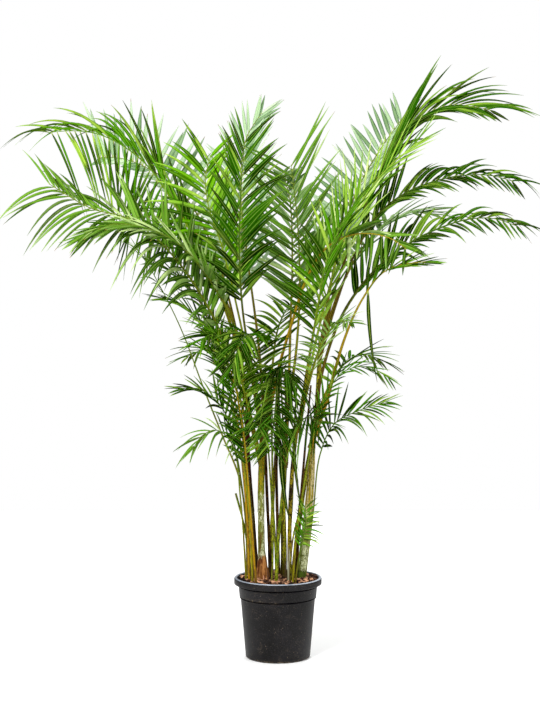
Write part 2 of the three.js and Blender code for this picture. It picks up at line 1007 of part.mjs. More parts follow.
// One leaflet: a flat three-sided cone, bent down by its own weight.
function bladeSolid(frond, root, frame, share, row, turn, extra) {
  const [firstAngle, lastAngle, lastLength, rowLength] = frond.rows[(row + 1) / 2];
  const angle = (mix(firstAngle, lastAngle, share) + turn.angle) * DEGREE;
  const lift = (mix(FIRST_LIFT, LAST_LIFT, share) + turn.lift) * DEGREE;
  const length = bladeLength(frond, share, lastLength, rowLength) * turn.length;
  const width = frond.blade[1] * mix(1, 0.7, share) + extra;
  const outwards = frame.side.clone().multiplyScalar(row * Math.cos(lift));
  outwards.addScaledVector(frame.outward, Math.sin(lift));
  const ahead = frame.ahead.clone().multiplyScalar(Math.cos(angle));
  ahead.addScaledVector(outwards, Math.sin(angle)).normalize();
  // The root lies along the rachis, and the blade turns broadside as it leaves.
  const rootAcross = frame.ahead.clone().multiplyScalar(-row);
  const across = rootAcross.clone().addScaledVector(ahead, -rootAcross.dot(ahead)).normalize();
  // Leaflets close along the rachis lie like roof slates, each rolled a little.
  across.applyAxisAngle(ahead, row * Math.max(0, SLATE_ANGLE * DEGREE - angle));
  // Long leaflets sag most, and one that points straight up or down doesn't sag.
  const slack = (length / frond.blade[0]) * Math.hypot(ahead.x, ahead.y);
  const sag = length * frond.droop * turn.droop * slack;
  const rings = length < SHORTEST_BENT ? SHORT_BLADE_RINGS : BLADE_RINGS;
  const steps = rings.length - 1;
  const cone = new THREE.ConeGeometry(1, 1, BLADE_SIDES, steps);
  return toSolid(reshape(cone, (point) => {
    const step = Math.round((point.y + 0.5) * steps);
    const ring = rings[step];
    // The cone narrows evenly, so its own radius there is taken out first.
    const coneRadius = 1 - step / steps;
    const x = step < steps ? point.x / coneRadius : 0;
    const z = step < steps ? point.z / coneRadius : 0;
    const heading = ahead.clone().multiplyScalar(length);
    heading.addScaledVector(UP, -2 * sag * ring.along).normalize();
    const wide = step === 0 ? rootAcross : across;
    const crown = step === 0 ? frame.outward : across.clone().cross(heading).normalize();
    point.copy(root).addScaledVector(ahead, length * ring.along);
    point.addScaledVector(UP, -sag * ring.along ** 2);
    point.addScaledVector(wide, (x / 1.732) * ring.width * width);
    point.addScaledVector(crown, (z / 1.5) * (ring.thickness + extra));
  }));
}

// A long leaflet that has given way at its root and hangs straight down.
function hangingBlade(frond) {
  const { along, length, width } = frond.strap;
  const root = pointOnStem(curveThrough(frond.path), along, PETIOLE_STEPS);
  const cone = new THREE.ConeGeometry(1, length, BLADE_SIDES);
  return toSolid(reshape(cone, (point) => {
    const down = point.y + length / 2;
    const bend = STRAP_BEND * (down / length) ** 2;
    point.set(
      root.x + (point.x * width) / 1.732 + bend,
      root.y + point.z * BLADE_RINGS[0].thickness,
      root.z - down,
    );
  }));
}

// Ways to turn a leaflet that would cross another piece, the mildest first.
const TURNS = [
  { angle: 0, lift: 0, droop: 1, length: 1 },
  { angle: 0, lift: 0, droop: 0.6, length: 1 },
  { angle: 0, lift: 0, droop: 1.4, length: 1 },
  { angle: -8, lift: 10, droop: 1, length: 1 },
  { angle: 8, lift: -10, droop: 1, length: 1 },
  { angle: -16, lift: 0, droop: 0.8, length: 0.95 },
  { angle: -6, lift: 22, droop: 1.2, length: 0.9 },
  { angle: 6, lift: -22, droop: 0.8, length: 0.9 },
  { angle: -22, lift: 12, droop: 1, length: 0.8 },
  { angle: 0, lift: 0, droop: 1, length: 0.7 },
  { angle: -10, lift: 25, droop: 0.6, length: 0.65 },
  { angle: -24, lift: -14, droop: 1, length: 0.6 },
  { angle: 0, lift: 0, droop: 1, length: 0.5 },
];

// The leaflets of one frond, each kept clear of all that is in placed.
function growBlades(frond, placed) {
  const random = seededRandom(frond.seed);
  const curve = curveThrough(frond.path);
  const face = new THREE.Vector3(...frond.face);
  const others = placed.filter((piece) => piece.owner !== frond.name);
  const blades = [];
  for (let pair = 0; pair < frond.pairs; pair += 1) {
    const share = pair / (frond.pairs - 1);
    for (const row of [-1, 1]) {
      const along = mix(frond.start, 0.985, share) + (random() - 0.5 + row * 0.5) * 0.012;
      const place = Math.min(along, 0.99);
      const root = pointOnStem(curve, place, PETIOLE_STEPS);
      const frame = frameAt(curve, place, face);
      const sway = { angle: (random() - 0.5) * 5, lift: (random() - 0.5) * 8 };
      for (const turn of TURNS) {
        const swayed = { ...turn, angle: turn.angle + sway.angle, lift: turn.lift + sway.lift };
        const fat = bladeSolid(frond, root, frame, share, row, swayed, 2 * GAP);
        const box = fat.boundingBox();
        const near = others.filter((piece) => boxesMeet(piece.box, box));
        if (near.every((piece) => piece.solid.intersect(fat).isEmpty())) {
          blades.push(bladeSolid(frond, root, frame, share, row, swayed, 0));
          break;
        }
      }
    }
  }
  if (frond.strap) {
    blades.push(hangingBlade(frond));
  }
  return blades;
}

// ----------------------------------------------------------------------- pot

function potSolid() {
  const lipBottom = POT_HEIGHT - LIP_HEIGHT;
  const profile = [
    [0, 0],
    [FOOT_RADIUS - 4, 0],
    [FOOT_RADIUS, 4],
    [BODY_TOP_RADIUS, BAND_BOTTOM - 3],
    [BAND_RADIUS, BAND_BOTTOM + 3],
    [BAND_TOP_RADIUS, lipBottom - 4],
    [RIM_RADIUS, lipBottom + 2],
    [RIM_RADIUS, POT_HEIGHT - 5],
    [RIM_RADIUS - 4, POT_HEIGHT],
    [RIM_RADIUS - 9, POT_HEIGHT],
    [BAND_TOP_RADIUS - WALL, lipBottom - 8],
    [BODY_TOP_RADIUS - WALL, BAND_BOTTOM - 6],
    [FOOT_RADIUS - WALL, FLOOR],
    [0, FLOOR],
  ];
  let pot = toSolid(lathe(profile, POT_SIDES));
  for (let hole = 0; hole < DRAIN_HOLES; hole += 1) {
    const turn = ((hole + 0.5) / DRAIN_HOLES) * 2 * Math.PI;
    const drill = new THREE.CylinderGeometry(DRAIN_HOLE_RADIUS, DRAIN_HOLE_RADIUS, 4 * FLOOR, 12);
    drill.rotateX(Math.PI / 2);
    drill.translate(DRAIN_CIRCLE_RADIUS * Math.cos(turn), DRAIN_CIRCLE_RADIUS * Math.sin(turn), 0);
    pot = pot.subtract(toSolid(drill));
  }
  return pot;
}

// Turns a profile of [radius, height] points about the Z axis.
function lathe(profile, sides) {
  const points = profile.map(([radius, height]) => new THREE.Vector2(radius, height));
  return new THREE.LatheGeometry(points, sides).rotateX(Math.PI / 2);
}

// ---------------------------------------------------------------------- soil

function soilHeight(x, y) {
  const slow = Math.sin(x * 0.043 + 1) * Math.cos(y * 0.037);
  const quick = Math.sin(x * 0.11 + y * 0.05) * Math.cos(y * 0.13 - 0.7);
  return SOIL_LEVEL + SOIL_UNEVENNESS * (0.6 * slow + 0.5 * quick);
}

// The mix fills the pot down to its floor, and bark chips lie on it.
function soilSolid(stems) {
  const profile = [
    [0, FLOOR + GAP],
    [FOOT_RADIUS - WALL - GAP, FLOOR + GAP],
    [BODY_TOP_RADIUS - WALL - 2 * GAP, BAND_BOTTOM - 6],
    [BAND_TOP_RADIUS - WALL - 3 * GAP, POT_HEIGHT - LIP_HEIGHT - 8],
    [RIM_RADIUS - 16, SOIL_LEVEL - 5],
    ...SOIL_RINGS.toReversed().map((radius) => [radius, SOIL_LEVEL]),
    [0, SOIL_LEVEL],
  ];
  const body = reshape(lathe(profile, SOIL_SIDES), (point) => {
    if (point.z >= SOIL_LEVEL) {
      point.z = soilHeight(point.x, point.y);
    }
  });
  let soil = toSolid(body);
  const random = seededRandom(31);
  for (let chip = 0; chip < CHIP_COUNT; chip += 1) {
    const turn = random() * 2 * Math.PI;
    const reach = 130 * Math.sqrt(random());
    const [long, broad, thick] = CHIP_SIZE.map((size) => size * mix(0.7, 1.15, random()));
    const box = new THREE.BoxGeometry(long, broad, thick);
    box.rotateX((random() - 0.5) * 0.9);
    box.rotateY((random() - 0.5) * 0.7);
    box.rotateZ(random() * Math.PI);
    const x = reach * Math.cos(turn);
    const y = reach * Math.sin(turn);
    box.translate(x, y, soilHeight(x, y) + 0.5);
    soil = soil.add(toSolid(box));
  }
  for (const stem of stems) {
    soil = soil.subtract(stem);
  }
  return largestPiece(soil);
}

// ------------------------------------------------------------------ assembly

const palm = new THREE.Group();

function addMesh(name, solid, look) {
  const material = new THREE.MeshStandardMaterial({ metalness: 0, ...look });
  const mesh = new THREE.Mesh(toGeometry(solid), material);
  mesh.name = name;
  palm.add(mesh);
}

// Stems first. Each is cut clear of those before it, as a leaf base hugs its
// cane, so the order is canes and then petioles.
const stems = [];
for (const cane of CANES) {
  const solid = caneSolid(cane, 0);
  stems.push({ name: cane.name, solid, fat: caneSolid(cane, GAP), look: cane });
}
for (const frond of FRONDS) {
  let solid = petioleSolid(frond, 0);
  const box = solid.boundingBox();
  for (const other of stems) {
    if (boxesMeet(other.fat.boundingBox(), box)) {
      solid = solid.subtract(other.fat);
    }
  }
  stems.push({ name: frond.name, solid: largestPiece(solid), fat: petioleSolid(frond, GAP), frond });
}

const placed = stems.map((stem) => withBox(stem.solid, stem.name));
addMesh("pot", potSolid(), { color: POT_COLOUR, roughness: 0.55 });
addMesh("soil", soilSolid(stems.map((stem) => stem.fat)), { color: SOIL_COLOUR, roughness: 0.95 });
for (const stem of stems.filter((each) => !each.frond)) {
  addMesh(stem.name, stem.solid, { color: stem.look.colour, roughness: 0.6 });
}
for (const { frond, solid } of stems.filter((each) => each.frond)) {
  const blades = growBlades(frond, placed);
  const whole = blades.reduce((sum, blade) => sum.add(blade), solid);
  blades.forEach((blade) => placed.push(withBox(blade, frond.name)));
  addMesh(frond.name, largestPiece(whole), { color: LEAF_COLOURS[frond.tone], roughness: 0.5 });
}

export default palm;
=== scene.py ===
"""A golden cane palm in a round black nursery pot, dressed for rendering.

Metres, +Z up, the pot stands on Z = 0 with its axis on the Z axis, and the side
that the photograph shows faces -Y. Each piece stands for the solid whose name its
own name begins with. The plant's dimensions are in millimetres, as in the solids,
and finish_piece turns them into metres.
"""

import math
import random
from dataclasses import dataclass

import bmesh
import bpy
from mathutils import Matrix, Vector


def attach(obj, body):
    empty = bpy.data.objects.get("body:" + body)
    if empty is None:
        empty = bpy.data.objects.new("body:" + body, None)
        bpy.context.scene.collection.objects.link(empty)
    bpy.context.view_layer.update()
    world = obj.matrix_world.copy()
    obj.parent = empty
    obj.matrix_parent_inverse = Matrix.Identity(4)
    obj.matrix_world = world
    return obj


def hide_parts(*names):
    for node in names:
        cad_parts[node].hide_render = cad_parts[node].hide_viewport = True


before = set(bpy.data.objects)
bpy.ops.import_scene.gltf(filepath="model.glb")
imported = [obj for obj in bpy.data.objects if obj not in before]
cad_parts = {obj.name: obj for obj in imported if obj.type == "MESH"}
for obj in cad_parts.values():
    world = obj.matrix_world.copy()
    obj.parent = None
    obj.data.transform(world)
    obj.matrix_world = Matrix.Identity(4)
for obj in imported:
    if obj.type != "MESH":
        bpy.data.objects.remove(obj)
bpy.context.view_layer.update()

MM = 0.001
UP = Vector((0, 0, 1))
TURN = 2 * math.pi

# ------------------------------------------------------------------ dimensions

POT_HEIGHT = 315
RIM_RADIUS = 172
PAINTED_HIGHLIGHT_EDGE = 2.6  # how far down the lip's top the painted pale highlight reaches
LIP_HEIGHT = 27
LIP_BOTTOM = POT_HEIGHT - LIP_HEIGHT
BAND_TOP_RADIUS = 155
BAND_RADIUS = 151
BAND_BOTTOM = 238
BODY_TOP_RADIUS = 147
FOOT_RADIUS = 127
WALL = 3
FLOOR_TOP = 7
POT_SIDES = 96

SOIL_LEVEL = 310
SOIL_RADIUS = RIM_RADIUS - 17
CHIP_COUNT = 620
# Canes and the fronds that come up by themselves start here, deep in the mix.
FOOT = 240

LEAFLET_SPACING = 28
LEAFLET_THICKNESS = 0.7
LEAFLET_WIDTH = 0.86  # how wide leaflets are here, as a share of the blade's
LEAFLET_WIDEST = 0.26  # where along its length a leaflet is widest
LEAFLET_ROOT_WIDTH = 0.34  # its width at the root, as a share of its widest
LONGEST_PAIR = 0.3  # where a row has its longest leaflets
LOOSE_ANGLE, LOOSE_LIFT = 7, 12  # how far leaflets stray from their row
SLAT_ANGLE = 40  # leaflets that point further forward turn on edge, like slats
FIRST_LIFT, LAST_LIFT = 28, 8  # how far leaflets rise from the frond's plane
STALK_TIP_RADIUS = 1.2

BOSS_BULGE = 1.45  # how far bosses stand out here, as a multiple of the solid's
ROOTED_BOSS = 10  # a boss that stands out further than this has roots
STUB_END = 0.17  # where along a cane its bare stub ends
ROOT_COUNT = 22

ROOM_LIGHT = 0.3
FLOOR_HALF_SIZE = 4
CAMERA_PLACE = (-0.031, -5.8, 1.4)
CAMERA_TILT = 2.31  # degrees below the level
CAMERA_LENS = 74.35
PLANT_MIDDLE = Vector((0, 0, 1.3))
# Each lamp's place, width and power.
LAMPS = {
    "key_light": ((-2.6, -4.2, 4.2), 2.0, 430),
    "fill_light": ((3.6, -3.4, 2.6), 2.8, 160),
    "back_light": ((0.6, 3.6, 4.0), 2.4, 220),
}


@dataclass
class Cane:
    """A cane from its foot to its top."""

    name: str
    look: str  # its bark
    path: list  # the points that it runs through
    radius: tuple  # at its foot and at its top
    ring: float  # how far apart its ring scars are
    boss: float = 1.5  # how far its foot stands out
    boss_end: float = 0.12  # where along it that ends
    stub: float = 1.0  # how thick its bare stub is, as a share


# A row of leaflets: the angle between leaflet and rachis at the first and at the last
# pair, the length of the last pair as a share of the longest, and the length of the
# row as a share of the blade.
PLAIN_ROW = (56, 20, 0.48, 1)


@dataclass
class Frond:
    """A frond from its root to its tip."""

    name: str
    tone: str  # its colours
    path: list  # the points that its rachis runs through
    face: tuple  # the way its upper side faces
    blade: tuple  # the length and width of its largest leaflet
    start: float  # where along the rachis its leaflets begin
    droop: float  # how far they sag, as a share of their length
    rows: tuple = (PLAIN_ROW, PLAIN_ROW)  # one to each side
    radius: float = 6.5  # at its root
    spacing: float = LEAFLET_SPACING
    slim: float = 1.0  # its leaflets' width, as a share of other fronds'
    curl: float = 1.0  # how much more its last leaflets sag than its first
    shade: str = ""  # leaf colours that take the place of its tone's
    stalk: str = ""  # stalk colours that take the place of its tone's
    strap: tuple = ()  # a hanging leaflet's place along it, its length and its width


CANES = [
    Cane(
        "cane_left", "rooted", radius=(15, 12), ring=75, boss=14, boss_end=0.3,
        path=[(-55, -45, FOOT), (-65, -45, 485), (-65, -50, 700), (-60, -50, 860)],
    ),
    Cane(
        "cane_right", "pale", radius=(21, 12), ring=62, boss=3, stub=0.8,
        path=[(85, -25, FOOT), (105, -25, 455), (125, -20, 650), (135, -20, 855)],
    ),
    Cane(
        "cane_back_left", "sheathed", radius=(11, 9), ring=60,
        path=[(-80, 45, FOOT), (-100, 55, 530), (-120, 70, 805), (-120, 80, 1025)],
    ),
    Cane(
        "cane_back_right", "olive", radius=(11, 9), ring=55,
        path=[(55, 60, FOOT), (95, 80, 605), (150, 95, 925), (170, 105, 1240)],
    ),
    Cane(
        "cane_middle", "olive", radius=(10, 8), ring=60, boss=4, boss_end=0.25,
        path=[(25, 10, FOOT), (20, 10, 535), (30, 5, 815), (40, 0, 1010)],
    ),
    Cane(
        "cane_mid_right", "mottled", radius=(9, 7), ring=60,
        path=[(45, -70, FOOT), (45, -70, 510), (55, -80, 745), (75, -85, 920)],
    ),
    Cane(
        "cane_front", "green", radius=(7, 6), ring=70,
        path=[(-10, -85, FOOT), (0, -90, 455), (15, -95, 630), (30, -100, 775)],
    ),
    Cane(
        "cane_slim_dark", "brown", radius=(6.5, 5.5), ring=66,
        path=[(-30, -5, FOOT), (-35, -10, 460), (-45, -10, 695), (-55, -15, 1005)],
    ),
    Cane(
        "cane_silver", "silver", radius=(7.5, 3.5), ring=58,
        path=[(-90, 15, FOOT), (-100, 15, 415), (-110, 20, 615), (-125, 20, 790), (-145, 30, 970)],
    ),
    Cane(
        "cane_cut", "green", radius=(4.5, 4), ring=80, boss=1,
        path=[(-105, -5, FOOT), (-120, -10, 440), (-140, -10, 550), (-165, -15, 645)],
    ),
    Cane(
        "cane_green", "green", radius=(5.5, 3), ring=64, boss=1,
        path=[(-5, -35, FOOT), (-10, -35, 440), (-20, -40, 620), (-25, -50, 895), (-40, -55, 1090)],
    ),
    Cane(
        "cane_mottled", "brown", radius=(7.5, 3.5), ring=60,
        path=[(5, 40, FOOT), (0, 40, 455), (-5, 40, 690), (-5, 35, 890), (-5, 30, 1085)],
    ),
    Cane(
        "cane_right_green", "green", radius=(5, 3), ring=72, boss=1,
        path=[(45, -45, FOOT), (45, -45, 430), (55, -50, 625), (65, -60, 935), (75, -65, 1105)],
    ),
    Cane(
        "cane_right_brown", "brown", radius=(6.5, 3.5), ring=58,
        path=[(70, 25, FOOT), (80, 30, 455), (90, 35, 610), (110, 40, 850), (130, 50, 1065)],
    ),
    Cane(
        "cane_far", "olive", radius=(8, 4), ring=62,
        path=[(-30, 80, FOOT), (-25, 85, 485), (-10, 90, 765), (10, 100, 1120)],
    ),
    Cane(
        "cane_golden", "golden", radius=(5, 3), ring=70, boss=1,
        path=[(-95, -60, FOOT), (-105, -65, 405), (-115, -70, 550), (-130, -75, 800), (-155, -90, 1025)],
    ),
    Cane(
        "cane_yellow", "yellow", radius=(5, 3), ring=66, boss=1,
        path=[(-85, -20, FOOT), (-105, -25, 445), (-125, -30, 620), (-150, -40, 855), (-190, -55, 1075)],
    ),
    Cane(
        "cane_thin_green", "green", radius=(4.5, 2.5), ring=68, boss=1,
        path=[(-25, -80, FOOT), (-20, -80, 470), (-25, -85, 630), (-40, -90, 860), (-60, -100, 1070)],
    ),
    Cane(
        "cane_thin_olive", "yellow", radius=(5, 3), ring=64, boss=1,
        path=[(30, -30, FOOT), (30, -35, 445), (25, -35, 620), (20, -40, 895), (10, -50, 1115)],
    ),
    Cane(
        "cane_short", "olive", radius=(4, 3.5), ring=60, boss=1,
        path=[(50, -90, FOOT), (50, -95, 410), (60, -95, 495), (75, -100, 560)],
    ),
]

FRONDS = [
    Frond(
        "frond_left_top", "deep", blade=(400, 22), start=0.47, droop=0.55, radius=8, spacing=22,
        slim=0.8, curl=2.0, face=(0.15, -1, 0.35), rows=((120, 108, 0.85, 0.8), (13, 26, 0.48, 1.05)),
        path=[
            (-110, 80, 955), (-180, 90, 1280), (-310, 105, 1600), (-420, 110, 1795), (-515, 105, 1930),
            (-615, 85, 2010), (-705, 60, 2050), (-795, 35, 2060), (-895, 5, 2050),
        ],
    ),
    Frond(
        "frond_left_arch", "grey", blade=(320, 24), start=0.42, droop=0.5, spacing=22,
        face=(0.2, -0.6, 0.8), rows=((56, 50, 1, 0.92), (50, 38, 0.8, 0.92)),
        path=[
            (-60, -50, 725), (-130, -100, 1015), (-250, -190, 1345), (-410, -260, 1585),
            (-555, -310, 1700), (-685, -335, 1735), (-840, -350, 1825),
        ],
    ),
    Frond(
        "frond_left_droop", "grey", blade=(260, 28), start=0.45, droop=0.3, spacing=22,
        face=(0.25, -0.4, 0.9), rows=((50, 20, 0.6, 0.9), (35, 10, 0.6, 0.8)),
        path=[
            (-55, -15, 915), (-110, -70, 1130), (-210, -190, 1400), (-360, -330, 1600),
            (-480, -420, 1660), (-590, -480, 1670), (-690, -520, 1635),
        ],
    ),
    Frond(
        "frond_left_back", "pale", blade=(285, 36), start=0.34, droop=0.12, face=(0.3, -1, 0.3),
        rows=((60, 30, 0.48, 0.45), (76, 68, 0.9, 1)),
        path=[
            (-120, 85, 1005), (-175, 150, 1320), (-260, 250, 1605), (-370, 350, 1810),
            (-515, 430, 1935), (-655, 480, 1995), (-755, 510, 2000),
        ],
    ),
    Frond(
        "frond_left_low", "grey", blade=(170, 14), start=0.66, droop=0.3, radius=4.6, spacing=26,
        stalk="golden", face=(0.3, -0.5, 0.8), rows=((50, 15, 0.6, 1), (35, 10, 0.6, 0.8)),
        path=[
            (-110, -60, FOOT), (-120, -75, 550), (-145, -100, 860), (-190, -130, 1135),
            (-275, -165, 1355), (-385, -200, 1500), (-460, -220, 1540),
        ],
    ),
    Frond(
        "frond_left_thin", "grey", blade=(150, 11), start=0.84, droop=0.6, radius=4.6,
        face=(0.4, -0.2, 0.9),
        path=[
            (-115, 30, FOOT), (-145, 45, 670), (-220, 70, 865), (-290, 110, 1035), (-390, 160, 1290),
            (-485, 205, 1475), (-555, 235, 1590), (-595, 245, 1625),
        ],
    ),
    Frond(
        "frond_left_mid", "deep", blade=(150, 16), start=0.62, droop=0.3, radius=4.6, spacing=26,
        face=(0.3, -0.5, 0.8), rows=((50, 15, 0.6, 1), (40, 12, 0.6, 1)),
        path=[
            (-95, -95, FOOT), (-115, -110, 630), (-155, -140, 905), (-215, -175, 1135),
            (-280, -205, 1305), (-370, -225, 1390), (-440, -240, 1410),
        ],
    ),
    Frond(
        "frond_left_golden", "dark", blade=(210, 14), start=0.5, droop=0.2, radius=5.5, spacing=16,
        stalk="golden", face=(0.35, -0.9, 0.3),
        path=[
            (-80, -110, FOOT), (-110, -120, 635), (-135, -130, 915), (-175, -150, 1115),
            (-215, -170, 1225), (-250, -190, 1280),
        ],
    ),
    Frond(
        "frond_left_small", "grey", blade=(150, 13), start=0.66, droop=0.6, radius=4.6, spacing=20,
        face=(0.2, -0.5, 0.85),
        path=[
            (-120, -25, FOOT), (-145, -60, 625), (-175, -110, 845), (-235, -150, 905),
            (-290, -180, 885), (-325, -195, 835),
        ],
    ),
    Frond(
        "frond_left_fine", "dark", blade=(160, 18), start=0.62, droop=0.35, radius=4.6, spacing=20,
        face=(0.3, -0.4, 0.85),
        path=[
            (-100, 5, FOOT), (-130, 0, 580), (-165, -20, 815), (-215, -45, 980), (-300, -65, 1055),
            (-380, -75, 1060),
        ],
    ),
    Frond(
        "frond_mid_left_tall", "dark", blade=(325, 21), start=0.5, droop=0.3, spacing=25,
        face=(0.05, -1, 0.1), rows=((42, 20, 0.5, 0.92), (44, 34, 0.6, 0.95)),
        path=[
            (-60, -50, 840), (-85, -110, 1065), (-130, -180, 1325), (-145, -240, 1550),
            (-140, -285, 1770), (-125, -310, 1980),
        ],
    ),
    Frond(
        "frond_mid_left_bright", "bright", blade=(325, 24), start=0.54, droop=0.3, spacing=22,
        face=(0.1, -1, 0.25), rows=((56, 42, 0.6, 1.05), (46, 28, 0.5, 0.85)),
        path=[
            (-60, -50, 820), (-100, -60, 1090), (-155, -90, 1360), (-210, -120, 1590),
            (-265, -140, 1760), (-275, -150, 1860), (-255, -160, 1945),
        ],
    ),
    Frond(
        "frond_mid_back", "pale", blade=(270, 24), start=0.42, droop=0.12, face=(-0.2, -1, 0.3),
        path=[
            (-55, -15, 985), (-80, 60, 1260), (-120, 150, 1560), (-150, 240, 1845), (-130, 310, 2055),
            (-65, 350, 2170),
        ],
    ),
    Frond(
        "frond_mid_tall", "grey", blade=(320, 17), start=0.38, droop=0.12, spacing=27,
        face=(-0.05, -1, 0.1), rows=((60, 45, 0.85, 1), (44, 33, 0.95, 1)),
        path=[
            (45, 0, 995), (75, 0, 1245), (85, 0, 1480), (75, -10, 1710), (50, -20, 1925),
        ],
    ),
    Frond(
        "frond_mid_front", "dark", blade=(230, 18), start=0.38, droop=0.4, spacing=19,
        face=(0.15, 0.2, 1),
        path=[
            (-60, -50, 790), (-60, -150, 1020), (-75, -290, 1195), (-105, -420, 1275),
            (-135, -540, 1250), (-165, -620, 1165),
        ],
    ),
    Frond(
        "frond_mid_front_left", "deep", blade=(250, 20), start=0.4, droop=0.4, spacing=20,
        face=(0.35, 0.1, 1),
        path=[
            (-60, -50, 755), (-115, -140, 1000), (-165, -260, 1175), (-230, -380, 1275),
            (-280, -480, 1255),
        ],
    ),
    Frond(
        "frond_mid_front_right", "grey", blade=(170, 15), start=0.4, droop=0.4, spacing=17,
        face=(-0.35, 0.1, 1),
        path=[
            (80, -90, 900), (115, -170, 1080), (160, -290, 1235), (215, -400, 1320), (260, -500, 1320),
        ],
    ),
    Frond(
        "frond_mid_low", "dark", blade=(190, 15), start=0.42, droop=0.6, spacing=13,
        strap=(0.5, 330, 13), face=(-0.2, -0.5, 0.85), rows=((85, 60, 0.6, 1), (85, 60, 0.6, 1)),
        path=[
            (30, -100, 765), (45, -120, 865), (75, -150, 930), (115, -180, 955), (160, -200, 930),
        ],
    ),
    Frond(
        "frond_mid_low_left", "dark", blade=(200, 16), start=0.4, droop=0.7, spacing=13,
        strap=(0.3, 300, 20), face=(0.2, -0.5, 0.85), rows=((85, 60, 0.6, 1), (85, 60, 0.6, 1)),
        path=[
            (30, -100, 755), (5, -120, 865), (-15, -150, 930), (-45, -190, 955), (-75, -230, 920),
        ],
    ),
    Frond(
        "frond_mid_hanging", "dark", blade=(200, 16), start=0.4, droop=0.9, spacing=12,
        strap=(0.7, 360, 13), face=(-0.2, -0.3, 0.95),
        path=[
            (-50, -15, 885), (-30, -90, 1035), (-15, -170, 1125), (20, -240, 1145), (60, -290, 1090),
        ],
    ),
    Frond(
        "frond_mid_inner", "dark", blade=(140, 14), start=0.36, droop=0.6, spacing=13,
        face=(0.1, -0.5, 0.85), rows=((80, 50, 0.6, 1), (80, 50, 0.6, 1)),
        path=[
            (35, -5, 980), (30, -60, 1070), (20, -120, 1115), (0, -175, 1090), (-10, -205, 1000),
            (-20, -215, 910), (-25, -220, 835),
        ],
    ),
    Frond(
        "frond_right_arch", "grey", blade=(200, 23), start=0.6, droop=0.45, radius=8, stalk="golden",
        face=(-0.25, -0.8, 0.55), rows=((30, 22, 0.5, 1.1), (85, 70, 0.8, 0.72)),
        path=[
            (-55, -55, 835), (-25, -80, 1005), (5, -105, 1150), (50, -135, 1305), (105, -175, 1475),
            (180, -225, 1595), (295, -280, 1645), (405, -310, 1630), (475, -325, 1585),
        ],
    ),
    Frond(
        "frond_right_young", "young", blade=(300, 12), start=0.34, droop=0.1, face=(-0.25, -1, 0.2),
        rows=((40, 14, 0.6, 1), (26, 8, 0.48, 0.9)),
        path=[
            (80, -80, 900), (130, -75, 1170), (185, -65, 1400), (245, -60, 1610), (325, -60, 1785),
            (430, -75, 1915), (535, -90, 2005),
        ],
    ),
    Frond(
        "frond_right_top", "dark", blade=(410, 20), start=0.42, droop=0.65, spacing=22,
        face=(-0.15, -0.9, 0.4), rows=((-8, 30, 0.5, 1.12), (4, 22, 0.34, 0.6)),
        path=[
            (170, 100, 1195), (225, 100, 1440), (295, 95, 1635), (355, 85, 1795), (425, 65, 1950),
            (500, 40, 2065), (590, 15, 2130), (680, -5, 2155), (755, -20, 2145), (825, -30, 2130),
        ],
    ),
    Frond(
        "frond_right_back", "pale", blade=(250, 29), start=0.36, droop=0.12, face=(-0.4, -0.9, 0.35),
        rows=((64, 52, 0.6, 1), (36, 20, 0.48, 1)),
        path=[
            (170, 110, 1215), (210, 180, 1440), (255, 270, 1645), (325, 350, 1845), (420, 420, 2015),
            (530, 470, 2170),
        ],
    ),
    Frond(
        "frond_right_high", "dark", blade=(250, 20), start=0.42, droop=0.6, spacing=25, slim=1.1,
        curl=1.3, face=(-0.15, -0.75, 0.6), rows=((26, 36, 0.6, 1.15), (8, 42, 0.7, 0.5)),
        path=[
            (165, 100, 1160), (230, 110, 1380), (310, 140, 1590), (410, 160, 1750), (515, 180, 1830),
            (625, 190, 1875), (740, 200, 1900), (855, 200, 1900), (950, 195, 1875),
        ],
    ),
    Frond(
        "frond_right_mid", "dark", blade=(235, 19), start=0.46, droop=0.6, radius=8.5, spacing=26,
        slim=1.1, curl=1.6, face=(-0.15, -0.75, 0.65), rows=((34, 34, 0.62, 1.1), (18, 44, 0.6, 0.5)),
        path=[
            (135, -15, 835), (170, -10, 1110), (260, -10, 1360), (395, -30, 1535), (525, -60, 1630),
            (630, -85, 1680), (735, -100, 1710), (830, -105, 1710), (915, -110, 1680),
        ],
    ),
    Frond(
        "frond_right_inner", "deep", blade=(270, 24), start=0.46, droop=0.3, face=(-0.2, -0.5, 0.85),
        rows=((70, 30, 0.6, 1), (40, 15, 0.5, 0.9)),
        path=[
            (75, -85, 890), (110, -160, 1135), (145, -240, 1355), (175, -290, 1525), (225, -320, 1665),
            (285, -335, 1765),
        ],
    ),
    Frond(
        "frond_right_droop", "deep", blade=(175, 17), start=0.72, droop=0.15, radius=8, spacing=22,
        stalk="golden", strap=(0.72, 345, 15), face=(-0.3, -0.5, 0.8),
        rows=((32, 10, 0.6, 1), (35, 14, 0.6, 0.8)),
        path=[
            (125, -30, 825), (180, -70, 985), (250, -170, 1250), (310, -230, 1395), (385, -290, 1500),
            (455, -330, 1530), (540, -360, 1540),
        ],
    ),
    Frond(
        "frond_right_low", "deep", blade=(130, 13), start=0.58, droop=0.3, radius=4.6, spacing=24,
        face=(-0.2, -0.5, 0.85), rows=((35, 10, 0.6, 1), (50, 30, 0.6, 1)),
        path=[
            (55, -95, FOOT), (65, -100, 435), (90, -110, 630), (150, -140, 940), (235, -180, 1120),
            (330, -220, 1150), (415, -250, 1110),
        ],
    ),
    Frond(
        "frond_right_lower", "deep", blade=(180, 14), start=0.64, droop=0.5, radius=4.6, spacing=18,
        face=(-0.2, -0.6, 0.8),
        path=[
            (100, 40, FOOT), (140, 30, 575), (165, 5, 795), (220, -35, 920), (315, -75, 975),
            (415, -100, 1010),
        ],
    ),
    Frond(
        "frond_right_sucker", "dark", blade=(88, 9), start=0.6, droop=0.3, radius=4.6, spacing=9,
